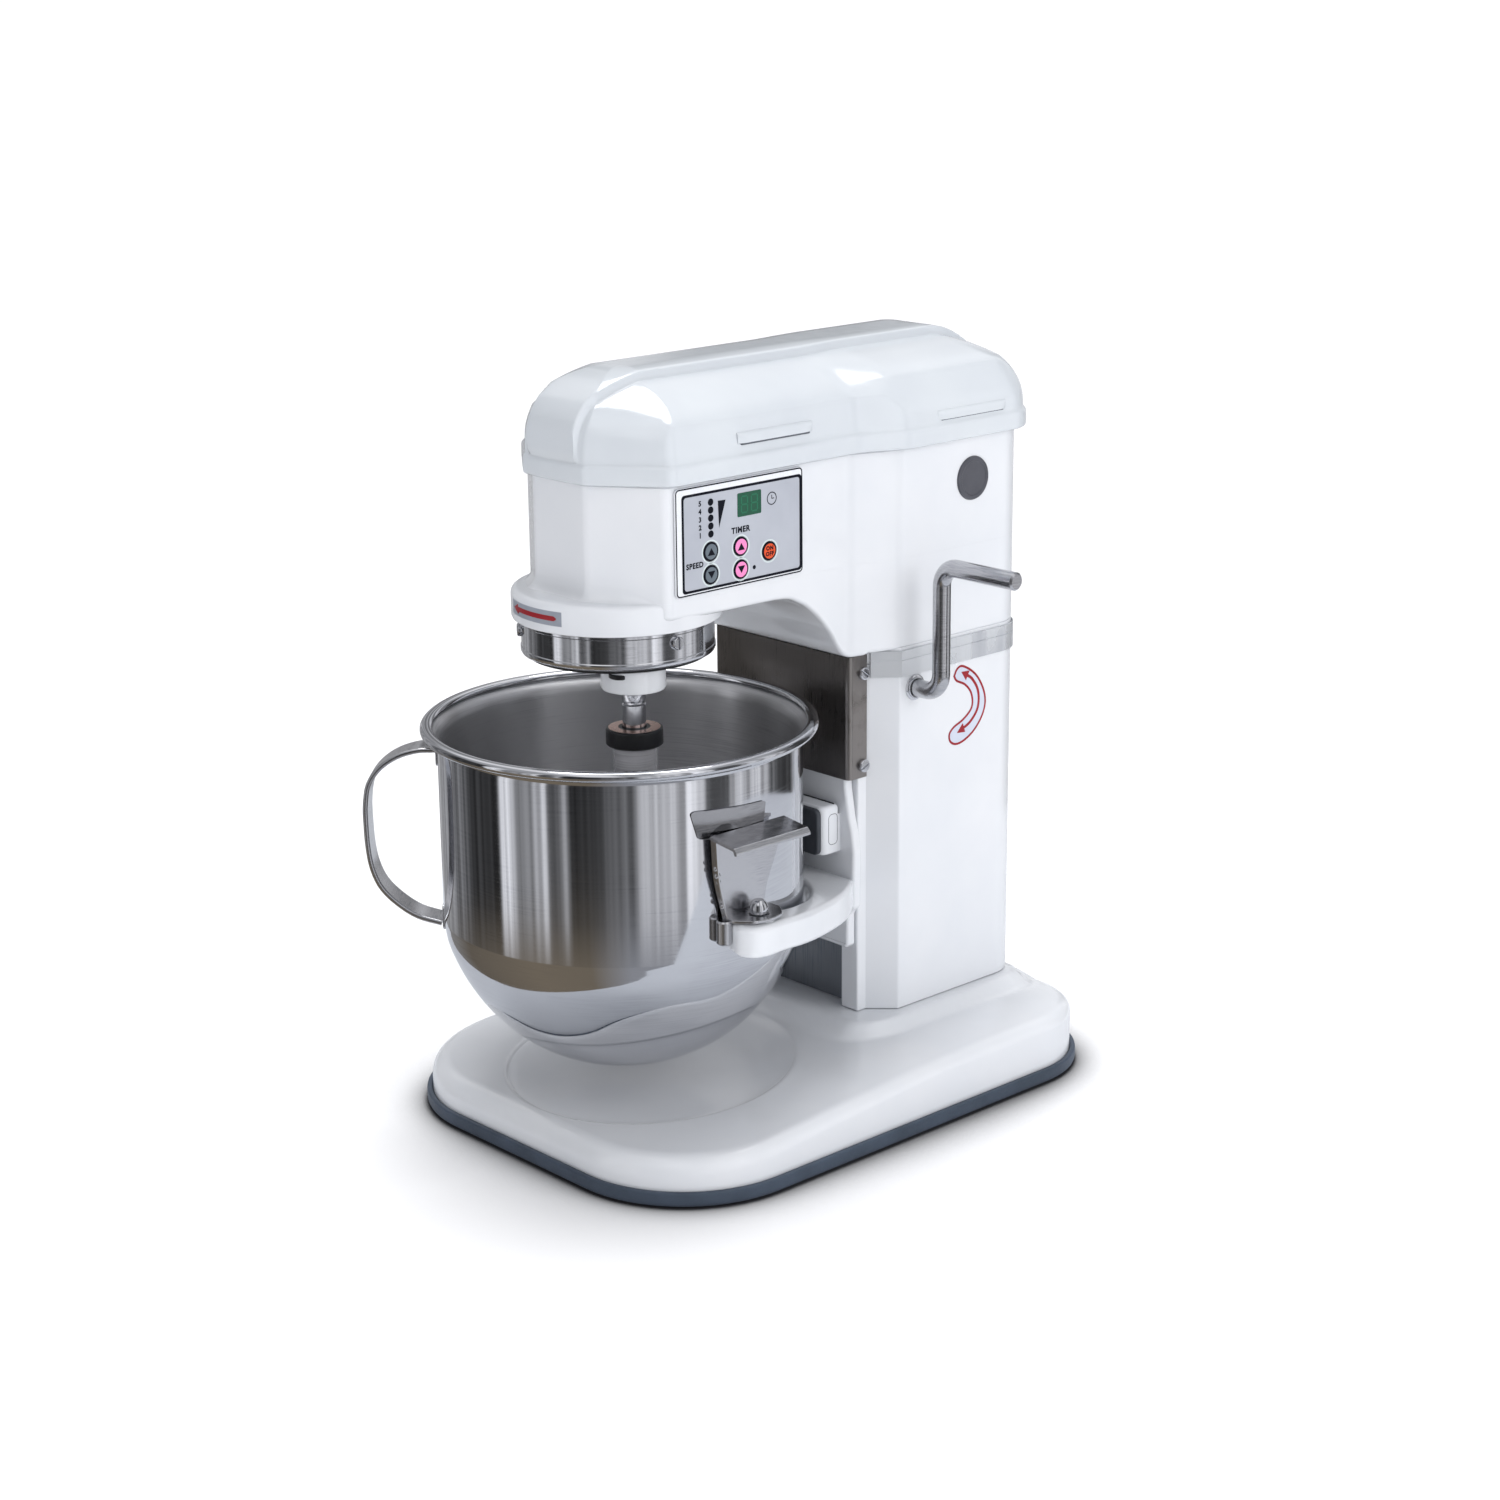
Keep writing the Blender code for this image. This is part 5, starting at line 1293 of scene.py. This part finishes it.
# light round the horizon: azimuth in degrees from +X towards +Y, and brightness
STRIPS = [(-180, 0.27), (-160, 0.24), (-152, 0.05), (-124, 0.05), (-120, 0.95), (-114, 0.85), (-110, 0.28),
          (-98, 0.22), (-95, 0.90), (-90, 0.88), (-87, 0.12), (-80, 0.14), (-76, 0.32), (-72, 0.05),
          (-56, 0.05), (-46, 0.16), (-34, 0.14), (-28, 0.42), (-24, 0.70), (-16, 0.55), (-4, 0.80),
          (10, 0.74), (14, 0.12), (26, 0.10), (34, 0.44), (44, 0.80), (55, 0.60), (68, 0.22), (78, 0.05),
          (92, 0.07), (105, 0.45), (180, 0.27)]
# colour of the ground far from the table, by the same azimuth
GROUND = [(-180, (0.26, 0.25, 0.24)), (-160, (0.17, 0.145, 0.115)), (-100, (0.24, 0.2, 0.15)),
          (-62, (0.22, 0.185, 0.14)), (-36, (0.36, 0.37, 0.40)), (60, (0.36, 0.37, 0.40)),
          (180, (0.26, 0.25, 0.24))]
EDGE, GAP = (0.45, 0.46, 0.48, 1), (0.5, 0.51, 0.53, 1)
LAMP_1, LAMP_2 = (1.05, 1.05, 1.07, 1), (1.1, 1.1, 1.12, 1)
# ceiling with two long lamps, by the place across it
CEILING = [(0, EDGE), (0.2, GAP), (0.26, LAMP_1), (0.4, LAMP_1), (0.45, GAP), (0.58, GAP), (0.63, LAMP_2),
           (0.78, LAMP_2), (0.84, GAP), (1, EDGE)]


def build_world():
    """Studio of soft strips and dark gaps under a bright ceiling; the camera itself sees plain white."""
    world = bpy.data.worlds.new("studio")
    bpy.context.scene.world = world
    g = Graph(world)
    x, y, z = g.add("ShaderNodeSeparateXYZ", {0: g.place.outputs["Generated"]}).outputs
    azimuth = g.add("ShaderNodeMath", {0: y, 1: x}, operation="ARCTAN2").outputs[0]

    def mixed(factor, first, second, blend="MIX"):
        return g.add("ShaderNodeMix", {0: factor, 6: first, 7: second}, data_type="RGBA",
                     blend_type=blend).outputs[2]

    def by_azimuth(stops):
        turn = g.spread(azimuth, 0, 1, -math.pi, math.pi)
        return g.ramp(turn, [((a + 180) / 360, (*tone, 1)) for a, tone in stops])

    strips = by_azimuth([(a, (v * 1.15, v * 1.16, v * 1.2)) for a, v in STRIPS])
    ripple = g.add("ShaderNodeTexNoise", {"W": azimuth, "Scale": 7, "Detail": 3},
                   noise_dimensions="1D").outputs[0]
    uneven = mixed(g.spread(ripple, 0, 1, 0.36, 0.64), (0.45, 0.45, 0.45, 1), (1.5, 1.5, 1.5, 1))
    strips = mixed(1, strips, uneven, "MULTIPLY")
    across = g.add("ShaderNodeMath", {0: x, 1: 0.6, 2: y}, operation="MULTIPLY_ADD").outputs[0]
    lamps = g.ramp(g.spread(across, 0, 1, -1, 1), CEILING)
    sky = mixed(g.spread(z, 0, 1, 0.42, 0.62), strips, lamps)
    studio = mixed(g.spread(z, 0, 1, -0.325, -0.375), sky, by_azimuth(GROUND))
    seen = g.add("ShaderNodeLightPath").outputs["Is Camera Ray"]
    set_or_link(g.tree, g.tree.nodes["Background"].inputs["Color"], mixed(seen, studio, (1, 1, 1, 1)))


def build_lights():
    """Three large soft lamps and a wide sun."""
    for name, place, size, power in (("key", (2.3, 0.7, 1.2), (1.6, 1.6), 23),
                                     ("front", (0.3, -2.6, 1.4), (1.4, 1), 8),
                                     ("corner", (1.9, -1.9, 0.7), (1.4, 1.4), 8)):
        data = bpy.data.lights.new(name, "AREA")
        data.shape = "RECTANGLE"
        data.size, data.size_y = size
        data.energy = power
        ob = linked(name, data)
        ob.location = place
        ob.visible_glossy = False
        ob.rotation_euler = (Vector((0, 0, 0.2)) - Vector(place)).to_track_quat("-Z", "Y").to_euler()
    data = bpy.data.lights.new("overhead", "SUN")
    data.energy, data.angle = 1.5, math.radians(32)
    linked("overhead", data).rotation_euler = (math.radians(-14), math.radians(-14), 0)
    bpy.context.scene.view_settings.view_transform = "Standard"


def build_camera():
    data = bpy.data.cameras.new("camera")
    data.lens, data.sensor_width = 70.173, 36
    place, heading, dip, roll = (1.153866, -1.068899, 0.656437), 47.254, 16.391, -0.536
    ob = linked("camera", data)
    ob.matrix_world = Matrix.Translation(place)
    for degrees, axis in ((heading, "Z"), (90 - dip, "X"), (roll, "Z")):
        ob.matrix_world = ob.matrix_world @ Matrix.Rotation(math.radians(degrees), 4, axis)
    bpy.context.scene.camera = ob


build_base()
build_column()
build_head()
build_cover()
build_planetary()
build_agitator()
build_bowl()
build_bowl_handle()
for side, name in SIDES:
    build_bowl_ear(side, name)
build_fork()
build_guard()
build_crank()
build_panel()
build_display()
build_keys()
build_brush_plugs()
build_inlet()
label_collar()
label_column()
dress_carried()
build_stage()
build_world()
build_lights()
build_camera()
